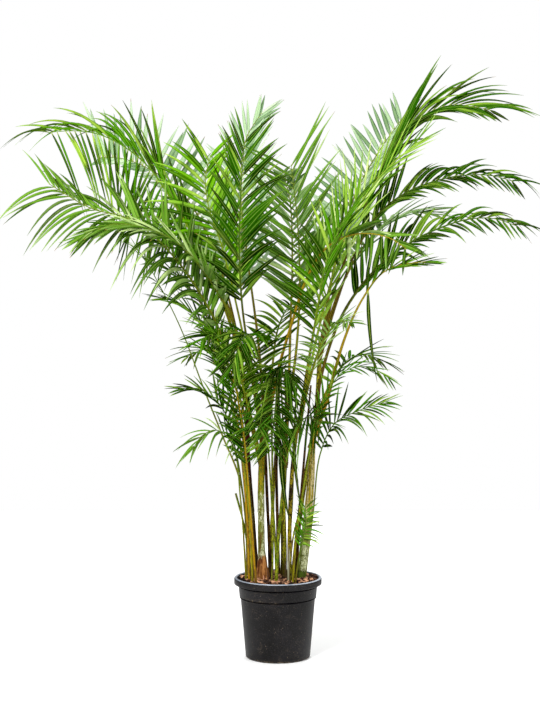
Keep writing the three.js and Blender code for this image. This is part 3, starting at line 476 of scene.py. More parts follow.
        shade="deep", face=(-0.3, -0.9, 0.3), rows=((50, 24, 0.8, 1), (78, 46, 0.8, 1.1)),
        path=[
            (60, -110, FOOT), (75, -120, 380), (90, -125, 460), (105, -130, 535), (105, -135, 605),
        ],
    ),
    Frond(
        "frond_back_left", "pale", blade=(290, 26), start=0.4, droop=0.3, shade="hazy",
        face=(0.3, -0.1, 1),
        path=[
            (-120, 85, 985), (-160, 180, 1240), (-245, 330, 1480), (-360, 480, 1670),
            (-485, 600, 1775), (-595, 680, 1790),
        ],
    ),
    Frond(
        "frond_back_mid", "pale", blade=(290, 26), start=0.38, droop=0.25, shade="hazy",
        face=(0, -0.4, 1),
        path=[
            (40, 5, 985), (50, 120, 1280), (60, 280, 1565), (55, 440, 1795), (35, 580, 1910),
            (30, 680, 1955),
        ],
    ),
    Frond(
        "frond_back_right", "pale", blade=(280, 26), start=0.4, droop=0.3, shade="hazy",
        face=(-0.3, -0.1, 1),
        path=[
            (175, 110, 1200), (235, 210, 1400), (325, 340, 1575), (440, 480, 1710), (570, 600, 1775),
            (685, 690, 1775),
        ],
    ),
    Frond(
        "frond_back_low", "deep", blade=(250, 22), start=0.42, droop=0.4, face=(-0.1, -0.2, 1),
        path=[
            (-55, -15, 955), (-25, 60, 1115), (0, 190, 1280), (50, 330, 1375), (110, 450, 1375),
        ],
    ),
    Frond(
        "frond_back_low_left", "deep", blade=(230, 20), start=0.42, droop=0.4, face=(0.3, -0.2, 1),
        path=[
            (-115, 80, 845), (-150, 140, 1000), (-220, 240, 1130), (-295, 340, 1195),
            (-375, 420, 1165),
        ],
    ),
    Frond(
        "frond_back_low_right", "deep", blade=(230, 20), start=0.42, droop=0.4, face=(-0.3, -0.2, 1),
        path=[
            (145, 100, 875), (185, 170, 1005), (255, 270, 1120), (345, 370, 1175), (430, 450, 1150),
        ],
    ),
]

# ---------------------------------------------------------------------- curves


class Path:
    """A smooth curve through points in millimetres, read at equal shares of its
    length. The spline is the centripetal one that the solids' curves use."""

    def __init__(self, points, steps=24):
        ends = [Vector(point) for point in points]
        ends = [ends[0] * 2 - ends[1], *ends, ends[-1] * 2 - ends[-2]]
        self.points = []
        for before, start, end, after in zip(ends, ends[1:], ends[2:], ends[3:]):
            for step in range(steps):
                self.points.append(self.blend(before, start, end, after, step / steps))
        self.points.append(ends[-2])
        self.reach = [0.0]
        for a, b in zip(self.points, self.points[1:]):
            self.reach.append(self.reach[-1] + (b - a).length)
        self.length = self.reach[-1]

    @staticmethod
    def blend(before, start, end, after, t):
        first = max((start - before).length, 1e-6) ** 0.5
        middle = max((end - start).length, 1e-6) ** 0.5
        last = max((after - end).length, 1e-6) ** 0.5
        leave = (start - before) / first - (end - before) / (first + middle) + (end - start) / middle
        arrive = (end - start) / middle - (after - start) / (middle + last) + (after - end) / last
        leave, arrive = leave * middle, arrive * middle
        square = (end - start) * 3 - leave * 2 - arrive
        cube = (start - end) * 2 + leave + arrive
        return start + leave * t + square * t**2 + cube * t**3

    def at(self, share):
        target = min(max(share, 0), 1) * self.length
        low, high = 0, len(self.reach) - 1
        while high - low > 1:
            middle = (low + high) // 2
            low, high = (middle, high) if self.reach[middle] <= target else (low, middle)
        part = (target - self.reach[low]) / max(self.reach[high] - self.reach[low], 1e-9)
        return self.points[low].lerp(self.points[high], part)

    def ahead(self, share):
        return (self.at(share + 0.01) - self.at(share - 0.01)).normalized()

    def frame(self, share, face):
        """The directions across a stem there: its side, ahead and outward."""
        ahead = self.ahead(share)
        outward = (face - ahead * face.dot(ahead)).normalized()
        return ahead.cross(outward), ahead, outward


def mix(start, end, share):
    return start + (end - start) * share


def around(turn, radius, height):
    """The point at an angle about the Z axis."""
    return Vector((math.cos(turn) * radius, math.sin(turn) * radius, height))


# ----------------------------------------------------------------- mesh making


def new_mesh():
    """An empty bmesh with the two maps that the materials read: strip runs
    across and along a piece, and tone holds a number drawn for each shape."""
    made = bmesh.new()
    made.loops.layers.uv.new("strip")
    made.loops.layers.uv.new("tone")
    return made


def set_tone(made, faces, draw, share=0.5):
    layer = made.loops.layers.uv["tone"]
    for face in faces:
        for loop in face.loops:
            loop[layer].uv = (draw, share)


def sheet(made, columns, rows, place):
    """A grid of faces whose points place(across, along) puts in millimetres,
    with both numbers from 0 to 1."""
    old = set(made.faces)
    grid = bmesh.ops.create_grid(made, x_segments=columns, y_segments=rows, size=0.5, calc_uvs=True)
    for vert in grid["verts"]:
        vert.co = place(vert.co.x + 0.5, vert.co.y + 0.5)
    return grid["verts"], [face for face in made.faces if face not in old]


def roll_up(made, verts, faces):
    """Merges the seam of a sheet that place() has rolled up, and fills its ends."""
    bmesh.ops.remove_doubles(made, verts=verts, dist=0.01)
    faces = [face for face in faces if face.is_valid]
    rims = {edge for face in faces for edge in face.edges if edge.is_boundary}
    bmesh.ops.holes_fill(made, edges=list(rims), sides=0)
    return faces


def tube(made, path, radius_at, sides, rows, face, shape=(1, 1), end=1.0):
    """A closed stem along a path, up to the share end of it. radius_at(share, turn)
    is in millimetres, and shape stretches it sideways and outwards."""

    def place(across, along):
        share = along * end
        side, _, outward = path.frame(share, face)
        turn = across * TURN
        radius = radius_at(share, turn)
        flank = side * (math.cos(turn) * radius * shape[0])
        return path.at(share) + flank - outward * (math.sin(turn) * radius * shape[1])

    return roll_up(made, *sheet(made, sides, rows, place))


def add_object(name, data):
    added = bpy.data.objects.new(name, data)
    bpy.context.scene.collection.objects.link(added)
    return added


def finish_piece(made, name, node, slot, materials, closed=True, smooth=True):
    """Writes a bmesh in millimetres out as one object that stands for a solid."""
    if closed:
        bmesh.ops.recalc_face_normals(made, faces=made.faces)
    bmesh.ops.scale(made, vec=(MM, MM, MM), verts=made.verts)
    data = bpy.data.meshes.new(name)
    made.to_mesh(data)
    made.free()
    if smooth:
        data.shade_smooth()
    for material in materials:
        data.materials.append(material)
    piece = add_object(name, data)
    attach(piece, "root")
    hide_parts(node)
    return piece


# ------------------------------------------------------------------ node groups


class Nodes:
    """Short calls for building a material's or a group's nodes."""

    def __init__(self, tree):
        self.tree = tree

    def add(self, kind, values=(), **settings):
        node = self.tree.nodes.new(kind)
        for name, value in settings.items():
            setattr(node, name, value)
        for name, value in dict(values).items():
            self.feed(node.inputs[name], value)
        return node

    def feed(self, socket, value):
        if isinstance(value, bpy.types.NodeSocket):
            self.tree.links.new(value, socket)
        else:
            socket.default_value = value

    def math(self, operation, first, second=0.0, clamp=False):
        node = self.add("ShaderNodeMath", {0: first, 1: second}, operation=operation, use_clamp=clamp)
        return node.outputs[0]

    def plus(self, first, second, clamp=False):
        return self.math("ADD", first, second, clamp)

    def less(self, first, second):
        return self.math("SUBTRACT", first, second)

    def times(self, first, second):
        return self.math("MULTIPLY", first, second)

    def smooth(self, value, low, high, start=0.0, end=1.0):
        """A soft step from start at low to end at high."""
        node = self.add(
            "ShaderNodeMapRange",
            {"Value": value, "From Min": low, "From Max": high, "To Min": start, "To Max": end},
            interpolation_type="SMOOTHSTEP",
        )
        return node.outputs["Result"]

    def near(self, value, middle, outer, inner):
        """A line: 1 within inner of the middle, fading to 0 at outer."""
        return self.smooth(self.math("ABSOLUTE", self.less(value, middle)), outer, inner)

    def ragged(self, value, pattern, reach):
        """A value pushed to and fro by a pattern, for torn and cloudy edges."""
        return self.plus(value, self.times(self.less(pattern, 0.5), reach))

    def lot(self, draw, spread, low, high):
        """1 for some of the shapes only, chosen by their drawn number."""
        return self.smooth(self.math("FRACT", self.times(draw, spread)), low, high)

    def blend(self, factor, first, second):
        node = self.add("ShaderNodeMix", data_type="RGBA")
        for index, value in zip((0, 6, 7), (factor, first, second)):
            self.feed(node.inputs[index], value)
        return node.outputs[2]

    def over(self, base, top, mask, share=1.0):
        """A colour laid over a base where the mask is bright."""
        return self.blend(self.times(mask, share), base, top)

    def noise(self, vector, scale, detail=3.0, roughness=0.55):
        """Cloudy noise. A scale of three numbers stretches it."""
        if isinstance(scale, tuple):
            vector = self.add("ShaderNodeMapping", {"Vector": vector, "Scale": scale}).outputs["Vector"]
            scale = 1.0
        values = {"Vector": vector, "Scale": scale, "Detail": detail, "Roughness": roughness}
        return self.add("ShaderNodeTexNoise", values).outputs["Fac"]

    def map(self, name):
        return self.add("ShaderNodeUVMap", uv_map=name).outputs["UV"]

    def apart(self, vector):
        return self.add("ShaderNodeSeparateXYZ", {"Vector": vector}).outputs

    def place(self):
        return self.add("ShaderNodeTexCoord").outputs["Object"]


def colour(code):
    """A colour given as a six-digit web code, in the linear values nodes take."""
    parts = [int(code[at : at + 2], 16) / 255 for at in (0, 2, 4)]
    return (*[part / 12.92 if part <= 0.04045 else ((part + 0.055) / 1.055) ** 2.4 for part in parts], 1)


def group(name, build, colours, values=(), roughness=True):
    """A surface's node group, filled by build(nodes, entry). Its inputs are colours
    and values by name, and it puts out a colour, a roughness and a height."""
    tree = bpy.data.node_groups.new(name, "ShaderNodeTree")

    def add_socket(label, way, kind):
        return tree.interface.new_socket(label, in_out=way, socket_type="NodeSocket" + kind)

    for label, code in colours.items():
        add_socket(label, "INPUT", "Color").default_value = colour(code)
    for label, value in dict(values).items():
        add_socket(label, "INPUT", "Float").default_value = value
    add_socket("Colour", "OUTPUT", "Color")
    for label in ("Roughness", "Height") if roughness else ("Height",):
        add_socket(label, "OUTPUT", "Float")
    nodes = Nodes(tree)
    entry = nodes.add("NodeGroupInput").outputs
    way_out = nodes.add("NodeGroupOutput")
    for label, socket in build(nodes, entry).items():
        nodes.feed(way_out.inputs[label], socket)
    return tree


def leaf_surface(nodes, entry):
    """Leaflets differ from each other, have a pale midrib and fine veins, a yellow
    root, an end that turns paler and, on some, a dry tip. A few carry a painted pale sheen."""
    across, along, _ = nodes.apart(nodes.map("strip"))
    draw = nodes.apart(nodes.map("tone"))[0]
    patch = nodes.noise(nodes.place(), 9.0, 2.0)
    shift = nodes.plus(nodes.times(draw, 0.7), nodes.times(patch, 0.45))
    base = nodes.blend(nodes.smooth(shift, 0.25, 0.85), entry["Deep"], entry["Light"])
    streak = nodes.noise(nodes.map("strip"), (78.0, 4.5, 3.0), 1.0)
    base = nodes.over(base, entry["Light"], streak, 0.35)
    # A painted pale sheen over a few whole leaflets.
    painted_sheen = nodes.times(nodes.lot(draw, 11.7, 0.68, 0.98), nodes.smooth(patch, 0.3, 0.55))
    base = nodes.over(base, entry["Pale"], painted_sheen)
    # Lighter leaflets turn paler towards their end.
    paler_end = nodes.times(nodes.smooth(along, 0.55, 1.0), nodes.smooth(shift, 0.4, 0.9))
    base = nodes.over(base, entry["Pale"], paler_end, 0.6)
    rib = nodes.near(across, 0.5, 0.07, 0.02)
    base = nodes.over(base, entry["Rib colour"], rib, entry["Rib"])
    base = nodes.over(base, entry["Rib colour"], nodes.smooth(along, 0.07, 0.0))
    tip = nodes.times(nodes.smooth(along, 0.93, 0.985), nodes.lot(draw, 7.3, 0.7, 0.8))
    base = nodes.over(base, entry["Dry"], tip)
    vein = nodes.math("SINE", nodes.times(across, 75.0))
    height = nodes.plus(nodes.times(vein, 0.25), rib)
    return {"Colour": base, "Roughness": nodes.plus(nodes.times(patch, 0.16), 0.34), "Height": height}


def stalk_surface(nodes, entry):
    """Petioles turn from golden at the foot to green at the tip, with specks and
    blotches on their lower part."""
    along = nodes.apart(nodes.map("strip"))[1]
    place = nodes.place()
    cloud = nodes.noise(place, (40.0, 40.0, 9.0))
    ripe = nodes.smooth(nodes.ragged(along, cloud, 0.3), 0.12, 0.8)
    base = nodes.blend(ripe, entry["Foot"], entry["Tip"])
    speck = nodes.smooth(nodes.noise(place, (330.0, 330.0, 115.5), 1.0), 0.63, 0.7)
    base = nodes.over(base, entry["Speck"], nodes.times(speck, nodes.smooth(along, 0.75, 0.25)), 0.75)
    blotch = nodes.smooth(nodes.noise(place, (80.0, 80.0, 20.0), 4.0, 0.7), 0.52, 0.6)
    base = nodes.over(base, entry["Speck"], nodes.times(blotch, nodes.smooth(along, 0.6, 0.2)), 0.75)
    return {"Colour": base, "Roughness": nodes.plus(nodes.times(cloud, 0.2), 0.3), "Height": cloud}


def cane_surface(nodes, entry):
    """Bark streaked and mottled with wax, dark specks, rags of old sheath, and a scar
    line at each ring. Sheaths wrap the top, and the foot has a bark of its own."""
    along = nodes.apart(nodes.map("strip"))[1]
    place = nodes.place()
    cloud = nodes.noise(place, (34.0, 34.0, 13.0), 4.0, 0.6)
    streak = nodes.noise(place, (190.0, 190.0, 9.0), 2.0)
    fine = nodes.noise(place, (230.0, 230.0, 110.0), 3.0, 0.65)
    speckle = nodes.noise(place, (420.0, 420.0, 190.0), 2.0, 0.5)
    rag = nodes.noise(place, (60.0, 60.0, 8.0), 3.0, 0.7)
    jagged = nodes.noise(place, (90.0, 90.0, 14.0), 2.0)
    waxy = nodes.smooth(nodes.ragged(cloud, streak, 0.35), 0.42, 0.56)
    base = nodes.blend(waxy, entry["Bark"], entry["Wax"])
    base = nodes.over(base, entry["Speck"], nodes.smooth(fine, 0.51, 0.59))
    base = nodes.over(base, entry["Scar"], nodes.smooth(rag, 0.56, 0.62), 0.8)
    base = nodes.over(base, entry["Speck"], nodes.smooth(speckle, 0.54, 0.61), 0.75)
    ring = nodes.plus(nodes.times(nodes.apart(place)[2], entry["Rings"]), nodes.times(cloud, 0.08))
    line = nodes.near(nodes.math("FRACT", ring), 0.5, 0.04, 0.01)
    base = nodes.over(base, entry["Scar"], line, entry["Scar share"])
    husk = nodes.blend(nodes.smooth(streak, 0.42, 0.6), entry["Sheath"], entry["Husk"])
    husk = nodes.over(husk, entry["Speck"], nodes.smooth(fine, 0.52, 0.6))
    sheath = nodes.less(nodes.ragged(along, streak, 0.3), entry["Sheath start"])
    base = nodes.over(base, husk, nodes.smooth(sheath, -0.015, 0.015))
    old_bark = nodes.blend(nodes.smooth(streak, 0.4, 0.6), entry["Foot"], entry["Scar"])
    foot = nodes.less(nodes.ragged(along, jagged, entry["Foot tear"]), entry["Foot end"])
    base = nodes.over(base, old_bark, nodes.smooth(foot, 0.008, -0.008))
    height = nodes.less(nodes.plus(nodes.times(fine, 0.4), streak), line)
    return {"Colour": base, "Roughness": nodes.plus(nodes.times(fine, 0.25), 0.45), "Height": height}


def crumb_surface(nodes, entry):
    """Bark, coir and roots: each shape its own brown, rough and fibrous."""
    draw = nodes.apart(nodes.map("tone"))[0]
    grain = nodes.noise(nodes.place(), 210.0, 4.0, 0.7)
    base = nodes.blend(nodes.smooth(draw, 0.25, 1.0), entry["Dark"], entry["Light"])
    base = nodes.over(base, entry["Light"], nodes.smooth(grain, 0.45, 0.75), draw)
    base = nodes.over(base, entry["Dark"], nodes.smooth(grain, 0.48, 0.3))
    return {"Colour": base, "Height": grain}


def plastic_surface(nodes, entry):
    """Matt black moulded plastic: fine curved scuffs, pits, pale specks, and soil dust
    along the foot and the step under the band."""
    place = nodes.place()
    height = nodes.apart(place)[2]
    cloud = nodes.noise(place, 7.0, 4.0, 0.6)
    swirl = nodes.noise(place, 6.0, 1.0)
    push = nodes.add("ShaderNodeCombineXYZ", {"X": swirl, "Z": swirl}).outputs[0]
    curved = nodes.add("ShaderNodeVectorMath", {0: place, 1: push}, operation="ADD").outputs[0]
    strokes = nodes.noise(curved, (30.0, 30.0, 210.0))
    scuff = nodes.times(nodes.smooth(strokes, 0.56, 0.7), nodes.smooth(cloud, 0.4, 0.6))
    speck = nodes.smooth(nodes.noise(place, 230.0, 1.0), 0.72, 0.78)
    worn = nodes.plus(nodes.times(scuff, 0.16), nodes.times(speck, 0.6), clamp=True)
    step = nodes.times(nodes.near(height, BAND_BOTTOM * MM, 0.012, 0.0), nodes.smooth(cloud, 0.5, 0.62))
    ledges = nodes.plus(nodes.times(nodes.smooth(height, 0.012, 0.0), 0.7), nodes.times(step, 0.45))
    crumbs = nodes.smooth(nodes.noise(place, 120.0, 3.0, 0.7), 0.5, 0.62)
    dust = nodes.plus(worn, nodes.times(ledges, crumbs), clamp=True)
    base = nodes.blend(nodes.smooth(cloud, 0.3, 0.7), entry["Black"], entry["Grey"])
    base = nodes.over(base, entry["Dust"], dust, entry["Wear"])
    base = nodes.over(base, entry["Pits"], nodes.smooth(nodes.noise(place, 380.0, 2.0), 0.56, 0.68), 0.2)
    rough = nodes.plus(nodes.times(cloud, 0.2), 0.38)
    return {"Colour": base, "Roughness": rough, "Height": nodes.noise(place, 700.0, 2.0)}


# ------------------------------------------------------------------- materials

leaf_group = group(
    "leaf_surface",
    leaf_surface,
    {"Deep": "24491d", "Light": "4f8a33", "Pale": "a8c284", "Rib colour": "a9b75a", "Dry": "8a6a3a"},
    {"Rib": 0.35},
)
stalk_group = group(
    "stalk_surface", stalk_surface, {"Foot": "b08a2e", "Tip": "6f9438", "Speck": "4a2f18"}
)
cane_group = group(
    "cane_surface",
    cane_surface,
    {
        "Bark": "8f9a5c", "Wax": "c4c8a6", "Speck": "6b5a30", "Scar": "5a4a2c",
        "Sheath": "8a7014", "Husk": "5c5c18", "Foot": "7a4d33",
    },
    {"Rings": 16.0, "Scar share": 0.5, "Sheath start": 0.85, "Foot end": 0.0, "Foot tear": 0.05},
)
crumb_group = group(
    "crumb_surface", crumb_surface, {"Dark": "2c120a", "Light": "d09c78"}, roughness=False
)
plastic_group = group(
    "plastic_surface",
    plastic_surface,
    {"Black": "070605", "Grey": "141315", "Dust": "8c7b64", "Pits": "504e52"},
    {"Wear": 1.0},
)


def material(name, surface, values=(), bump=0.2, depth=0.4, gloss=0.5, roughness=None):
    """A material whose colour, roughness and bump come from one surface group. Depth
    is the bump's, in millimetres, and gloss is how much of the light mirrors off."""
    made = bpy.data.materials.new(name)
    made.use_nodes = True
    nodes = Nodes(made.node_tree)
    shader = made.node_tree.nodes["Principled BSDF"].inputs
    look = nodes.add("ShaderNodeGroup", node_tree=surface)
    for label, value in dict(values).items():
        look.inputs[label].default_value = colour(value) if isinstance(value, str) else value
    nodes.feed(shader["Base Color"], look.outputs["Colour"])
    nodes.feed(shader["Roughness"], look.outputs["Roughness"] if roughness is None else roughness)
    relief = {"Height": look.outputs["Height"], "Strength": bump, "Distance": depth * MM}
    nodes.feed(shader["Normal"], nodes.add("ShaderNodeBump", relief).outputs["Normal"])
    shader["Specular IOR Level"].default_value = gloss
    return made


# The darkest and the lightest colour of the upper side, the same of the underside,
# and the pale colour of the painted sheen that a few leaflets have, which many tips also turn towards.
LEAF_TONES = {
    "deep": ("061600", "3e7802", "102400", "446c02", "90b23c"),
    "dark": ("030c00", "265802", "081800", "2c5402", "6c9028"),
    "bright": ("124000", "5c9c02", "225002", "648e0a", "a2c84a"),
    "young": ("286402", "86ae38", "467a20", "a4c06a", "c0d286"),
    "grey": ("163800", "5c8a24", "2a5208", "769c44", "acc47c"),
    "pale": ("567a4e", "a2be94", "4c7034", "8aa868", "c8d6bc"),
    "hazy": ("2c5420", "7ca05c", "345c22", "84a45c", "b4c89e"),
}
# The stalk's colour at its foot and at its tip.
STALK_TONES = {
    "deep": ("7c760c", "4f7a14"),
    "dark": ("54480a", "3c5c14"),
    "bright": ("8c860c", "6f8a14"),
    "young": ("7c8c18", "86a434"),
    "grey": ("6f6c10", "5c7418"),
    "pale": ("7c6c14", "6a7c30"),
    "golden": ("8a6a0c", "8c7c14"),
}
# The slot of the canes with each bark, how deep its relief is, and its values.
BARKS = {
    "pale": ("pale_cane", 1.2, {
        "Bark": "6a7230", "Wax": "b0b48e", "Speck": "4e501c", "Scar": "343a18", "Rings": 11.0,
        "Sheath": "8c7a14", "Husk": "a89a6c", "Sheath start": 0.55,
        "Foot": "4a5e1c", "Foot end": STUB_END, "Foot tear": 0.0,
    }),
    "rooted": ("pale_cane", 1.2, {
        "Bark": "787e38", "Wax": "c0c29e", "Speck": "54561c", "Scar": "5a3016", "Rings": 11.0,
        "Scar share": 0.35, "Sheath": "94780c", "Husk": "66761a", "Sheath start": 0.66,
        "Foot": "aa7440", "Foot end": 0.27, "Foot tear": 0.16,
    }),
    "silver": ("pale_cane", 0.8, {
        "Bark": "5a6234", "Wax": "a0a68c", "Speck": "3c3c20", "Rings": 14.0, "Sheath": "5c6a14",
    }),
    "olive": ("olive_cane", 0.8, {
        "Bark": "4c4808", "Wax": "94901a", "Speck": "1e1406", "Rings": 14.0, "Sheath": "7a7410",
    }),
    "mottled": ("olive_cane", 0.8, {
        "Bark": "2a200c", "Wax": "8a7c16", "Speck": "150c06", "Rings": 14.0, "Sheath": "7c7014",
        "Foot": "8a8c70", "Foot end": 0.28, "Foot tear": 0.1,
    }),
    "green": ("green_cane", 0.8, {
        "Bark": "46600a", "Wax": "7c8418", "Speck": "2e2a0a", "Rings": 13.0, "Sheath": "5c7414",
    }),
    "golden": ("golden_cane", 0.8, {
        "Bark": "6c5a0e", "Wax": "a4902a", "Speck": "2e1a06", "Rings": 12.0, "Sheath": "8c8a1c",
        "Foot": "3c3410", "Foot end": 0.2, "Foot tear": 0.2,
    }),
    "yellow": ("golden_cane", 0.8, {
        "Bark": "5e6a0a", "Wax": "8e8c18", "Speck": "2e2a0a", "Rings": 12.0, "Sheath": "7c8a18",
        "Foot": "3c3410", "Foot end": 0.16, "Foot tear": 0.2,
    }),
    "brown": ("brown_cane", 1.0, {
        "Bark": "221206", "Wax": "5a3a12", "Speck": "0e0803", "Rings": 15.0, "Sheath": "5a3a12",
        "Husk": "33190c", "Sheath start": 0.7,
    }),
    "sheathed": ("brown_cane", 1.0, {
        "Bark": "33170d", "Wax": "5c5420", "Speck": "1c0c08", "Rings": 12.0, "Sheath": "4c1f16",
        "Husk": "2a120c", "Sheath start": 0.55,
    }),
}

LEAVES, STALKS, CANE_LOOKS = {}, {}, {}
for tone, (deep, light, under_deep, under_light, pale) in LEAF_TONES.items():
    upper = {"Deep": deep, "Light": light, "Pale": pale, "Rib": 0.35}
    under = {"Deep": under_deep, "Light": under_light, "Pale": pale, "Rib": 0.6}
    LEAVES[tone] = (
        material("leaf_" + tone, leaf_group, upper, bump=0.35, gloss=0.0),
        material("leaf_" + tone + "_underside", leaf_group, under, bump=0.35, gloss=0.0),
    )
for tone, (foot, tip) in STALK_TONES.items():
    STALKS[tone] = material("stalk_" + tone, stalk_group, {"Foot": foot, "Tip": tip}, gloss=0.04)
for look, (_, depth, values) in BARKS.items():
    CANE_LOOKS[look] = material("cane_" + look, cane_group, values, bump=0.5, depth=depth, gloss=0.03)

WALL_PLASTIC = material("black_plastic", plastic_group, bump=0.25, depth=0.3, gloss=0.14)
# The lip's top: a painted pale bluish highlight, with the plastic's scuffs and dust still over it.
RIM_HIGHLIGHT_PLASTIC = material("rubbed_rim", plastic_group, {"Black": "545c68", "Grey": "a4acb8", "Wear": 0.5})
# The steps under the band and under the lip: painted shade, near-black.
PAINTED_SHADE_PLASTIC = material(
    "shaded_step", plastic_group, {"Black": "040406", "Grey": "08080a", "Wear": 0.5}, gloss=0.0
)
CHIPS = material("bark_chips", crumb_group, bump=0.6, depth=1.0, gloss=0.15, roughness=0.9)
# The mix under the chips is coloured much darker than the chips.
dark_mix = {"Dark": "0e0604", "Light": "3c2014"}
MIX = material("bark_mix", crumb_group, dark_mix, bump=0.8, depth=2.0, gloss=0.1, roughness=0.95)
dry = {"Dark": "6c4630", "Light": "c49070"}
ROOTS = material("root_fibre", crumb_group, dry, bump=0.6, depth=1.0, gloss=0.15, roughness=0.85)

# ---------------------------------------------------------------------- fronds


def leaflet_fullness(along):
    """How wide a leaflet is, as a share of its full width, from root to tip."""
    swell = math.sin(min(along / LEAFLET_WIDEST, 1) * math.pi / 2)
    taper = max(along - LEAFLET_WIDEST, 0) / (1 - LEAFLET_WIDEST)
    return mix(LEAFLET_ROOT_WIDTH, 1, swell) * (1 - 0.96 * taper**2.3)


def leaflet_length(full, share, last_length):
    """How long a leaflet is, from the first pair to the last."""
    if share < LONGEST_PAIR:
        return full * mix(0.62, 1, share / LONGEST_PAIR)
    return full * mix(1, last_length, ((share - LONGEST_PAIR) / (1 - LONGEST_PAIR)) ** 1.3)


def add_leaflet(made, frond, path, place, share, row, draw):
    """One leaflet: a folded, sagging, slightly twisted strip on its rachis."""
    root = path.at(place)
    side, along_stalk, outward = path.frame(place, Vector(frond.face))
    first, last, last_length, row_length = frond.rows[(row + 1) // 2]
    longest, widest = frond.blade
    angle = math.radians(mix(first, last, share) + draw.uniform(-LOOSE_ANGLE, LOOSE_ANGLE))
    lift = math.radians(mix(FIRST_LIFT, LAST_LIFT, share) + draw.uniform(-LOOSE_LIFT, LOOSE_LIFT))
    length = leaflet_length(longest * row_length, share, last_length) * draw.uniform(0.84, 1.06)
    width = widest * LEAFLET_WIDTH * mix(1, 0.68, share) * draw.uniform(0.86, 1.08) * frond.slim
    outwards = side * (row * math.cos(lift)) + outward * math.sin(lift)
    ahead = (along_stalk * math.cos(angle) + outwards * math.sin(angle)).normalized()
    slack = length / longest * math.hypot(ahead.x, ahead.y)
    sag = length * frond.droop * slack * draw.uniform(0.55, 1.6) * mix(1, frond.curl, share)
    backwards = along_stalk * -row
    across = (backwards - ahead * backwards.dot(ahead)).normalized()
    across.rotate(Matrix.Rotation(row * max(0, math.radians(SLAT_ANGLE) - angle), 3, ahead))
    twist = draw.uniform(-0.35, 0.35)
    fold = draw.uniform(0.16, 0.3)
    bend = draw.uniform(-0.05, 0.05) * length

    def place_point(sideways, along):
        heading = (ahead * length - UP * (2 * sag * along)).normalized()
        crown = across.cross(heading).normalized()
        turn = Matrix.Rotation(twist * along, 3, heading)
        half = leaflet_fullness(along) * width * (sideways - 0.5)
        point = root + ahead * (length * along) - UP * (sag * along**2) + across * (bend * along**2)
        return point + turn @ (across * half) - turn @ crown * (abs(half) * 2 * fold)

    _, faces = sheet(made, 2, 9, place_point)
    set_tone(made, faces, draw.random(), share)


def add_hanging_leaflet(made, frond, path):
    """A long leaflet that has given way at its root and hangs straight down."""
    place, length, width = frond.strap
    root = path.at(place)

    def place_point(sideways, along):
        half = width * (sideways - 0.5) * leaflet_fullness(along)
        turn = 0.9 * along
        swing = 35 * along**2
        forward = half * math.sin(turn) + abs(half) * 0.3
        return root + Vector((half * math.cos(turn) + swing, forward, -length * along))

    _, faces = sheet(made, 2, 14, place_point)
    set_tone(made, faces, 0.1)


def add_stalk(frond, path, draw):
    stalk = new_mesh()

    def radius_at(share, turn):
        foot = 1 + 0.35 * max(0, 1 - share / 0.1)
        return mix(frond.radius, STALK_TIP_RADIUS, share**1.2) * foot

    faces = tube(stalk, path, radius_at, 8, 44, Vector(frond.face), (0.9, 1.1), 0.998)
    set_tone(stalk, faces, draw.random())
    look = STALKS[frond.stalk or frond.tone]
    finish_piece(stalk, frond.name + "_stalk", frond.name, frond.tone + "_leaf", [look])


def add_frond(frond, draw):
    path = Path(frond.path)
    add_stalk(frond, path, draw)
    leaves = new_mesh()
    pairs = max(round(path.length * (1 - frond.start) / frond.spacing), 6)
    for pair in range(pairs):
        share = pair / (pairs - 1)
        for row in (-1, 1):
            place = mix(frond.start, 0.99, share) + (draw.uniform(-0.15, 0.15) + row * 0.12) / pairs
            add_leaflet(leaves, frond, path, min(place, 0.995), share, row, draw)
    if frond.strap:
        add_hanging_leaflet(leaves, frond, path)
    looks = LEAVES[frond.shade or frond.tone]
    name, slot = frond.name + "_leaflets", frond.tone + "_leaf"
    piece = finish_piece(leaves, name, frond.name, slot, looks, closed=False)
    shell = piece.modifiers.new("thickness", "SOLIDIFY")
    shell.thickness = LEAFLET_THICKNESS * MM
    shell.offset = -1
    shell.material_offset = 1
    shell.use_rim = True


# ----------------------------------------------------------------------- canes


def add_roots(cane, slot):
    """Stubby roots that leave the boss of a cane and enter the mix."""
    draw = random.Random(9)
    along_cane = Path(cane.path)
    base = along_cane.at((SOIL_LEVEL - FOOT) / along_cane.length)
    made = new_mesh()
    for _ in range(ROOT_COUNT):
        out = around(draw.uniform(0, TURN), 1, 0)
        start = base + out * 18 + UP * draw.uniform(10, 60)
        end = base + out * draw.uniform(30, 40) - UP * 8
        knee = (start + end) / 2 + out * draw.uniform(-2, 3) + UP * draw.uniform(-4, 4)
        thick = draw.uniform(1.6, 3)

        def radius_at(share, turn, thick=thick):
            return thick * (1 - 0.3 * share)

        faces = tube(made, Path([start, knee, end]), radius_at, 6, 6, Vector((0.1, 0.1, 1)))
        set_tone(made, faces, draw.random())
    finish_piece(made, cane.name + "_roots", cane.name, slot, [ROOTS])


def add_cane(cane):
    """A tapering stem with a rib at each ring, a swollen foot and a slight ripple."""
    path = Path(cane.path)
    foot, top = cane.radius
    draw = random.Random(cane.name)
    lean = draw.uniform(0, 6)
    slot = BARKS[cane.look][0]

    def radius_at(share, turn):
        cycle = (share * path.length / cane.ring) % 1
        ring = 0.05 * math.exp(-(((cycle - 0.5) / 0.08) ** 2))
        boss = BOSS_BULGE * cane.boss * max(0, 1 - share / cane.boss_end) ** 1.05
        boss *= 1 + 0.2 * math.sin(turn * 5 + share * 60 + lean)
        ripple = 0.012 * math.sin(turn * 3 + share * 18 + lean)
        stub = cane.stub if share < STUB_END else 1
        return (mix(foot, top, share) * (1 + ring + ripple) + boss) * stub

    made = new_mesh()
    faces = tube(made, path, radius_at, 20, 130, Vector((0, -1, 0)))
    set_tone(made, faces, draw.random())
    finish_piece(made, cane.name + "_bark", cane.name, slot, [CANE_LOOKS[cane.look]])
    if cane.boss > ROOTED_BOSS:
        add_roots(cane, slot)


# ------------------------------------------------------------------ pot and soil


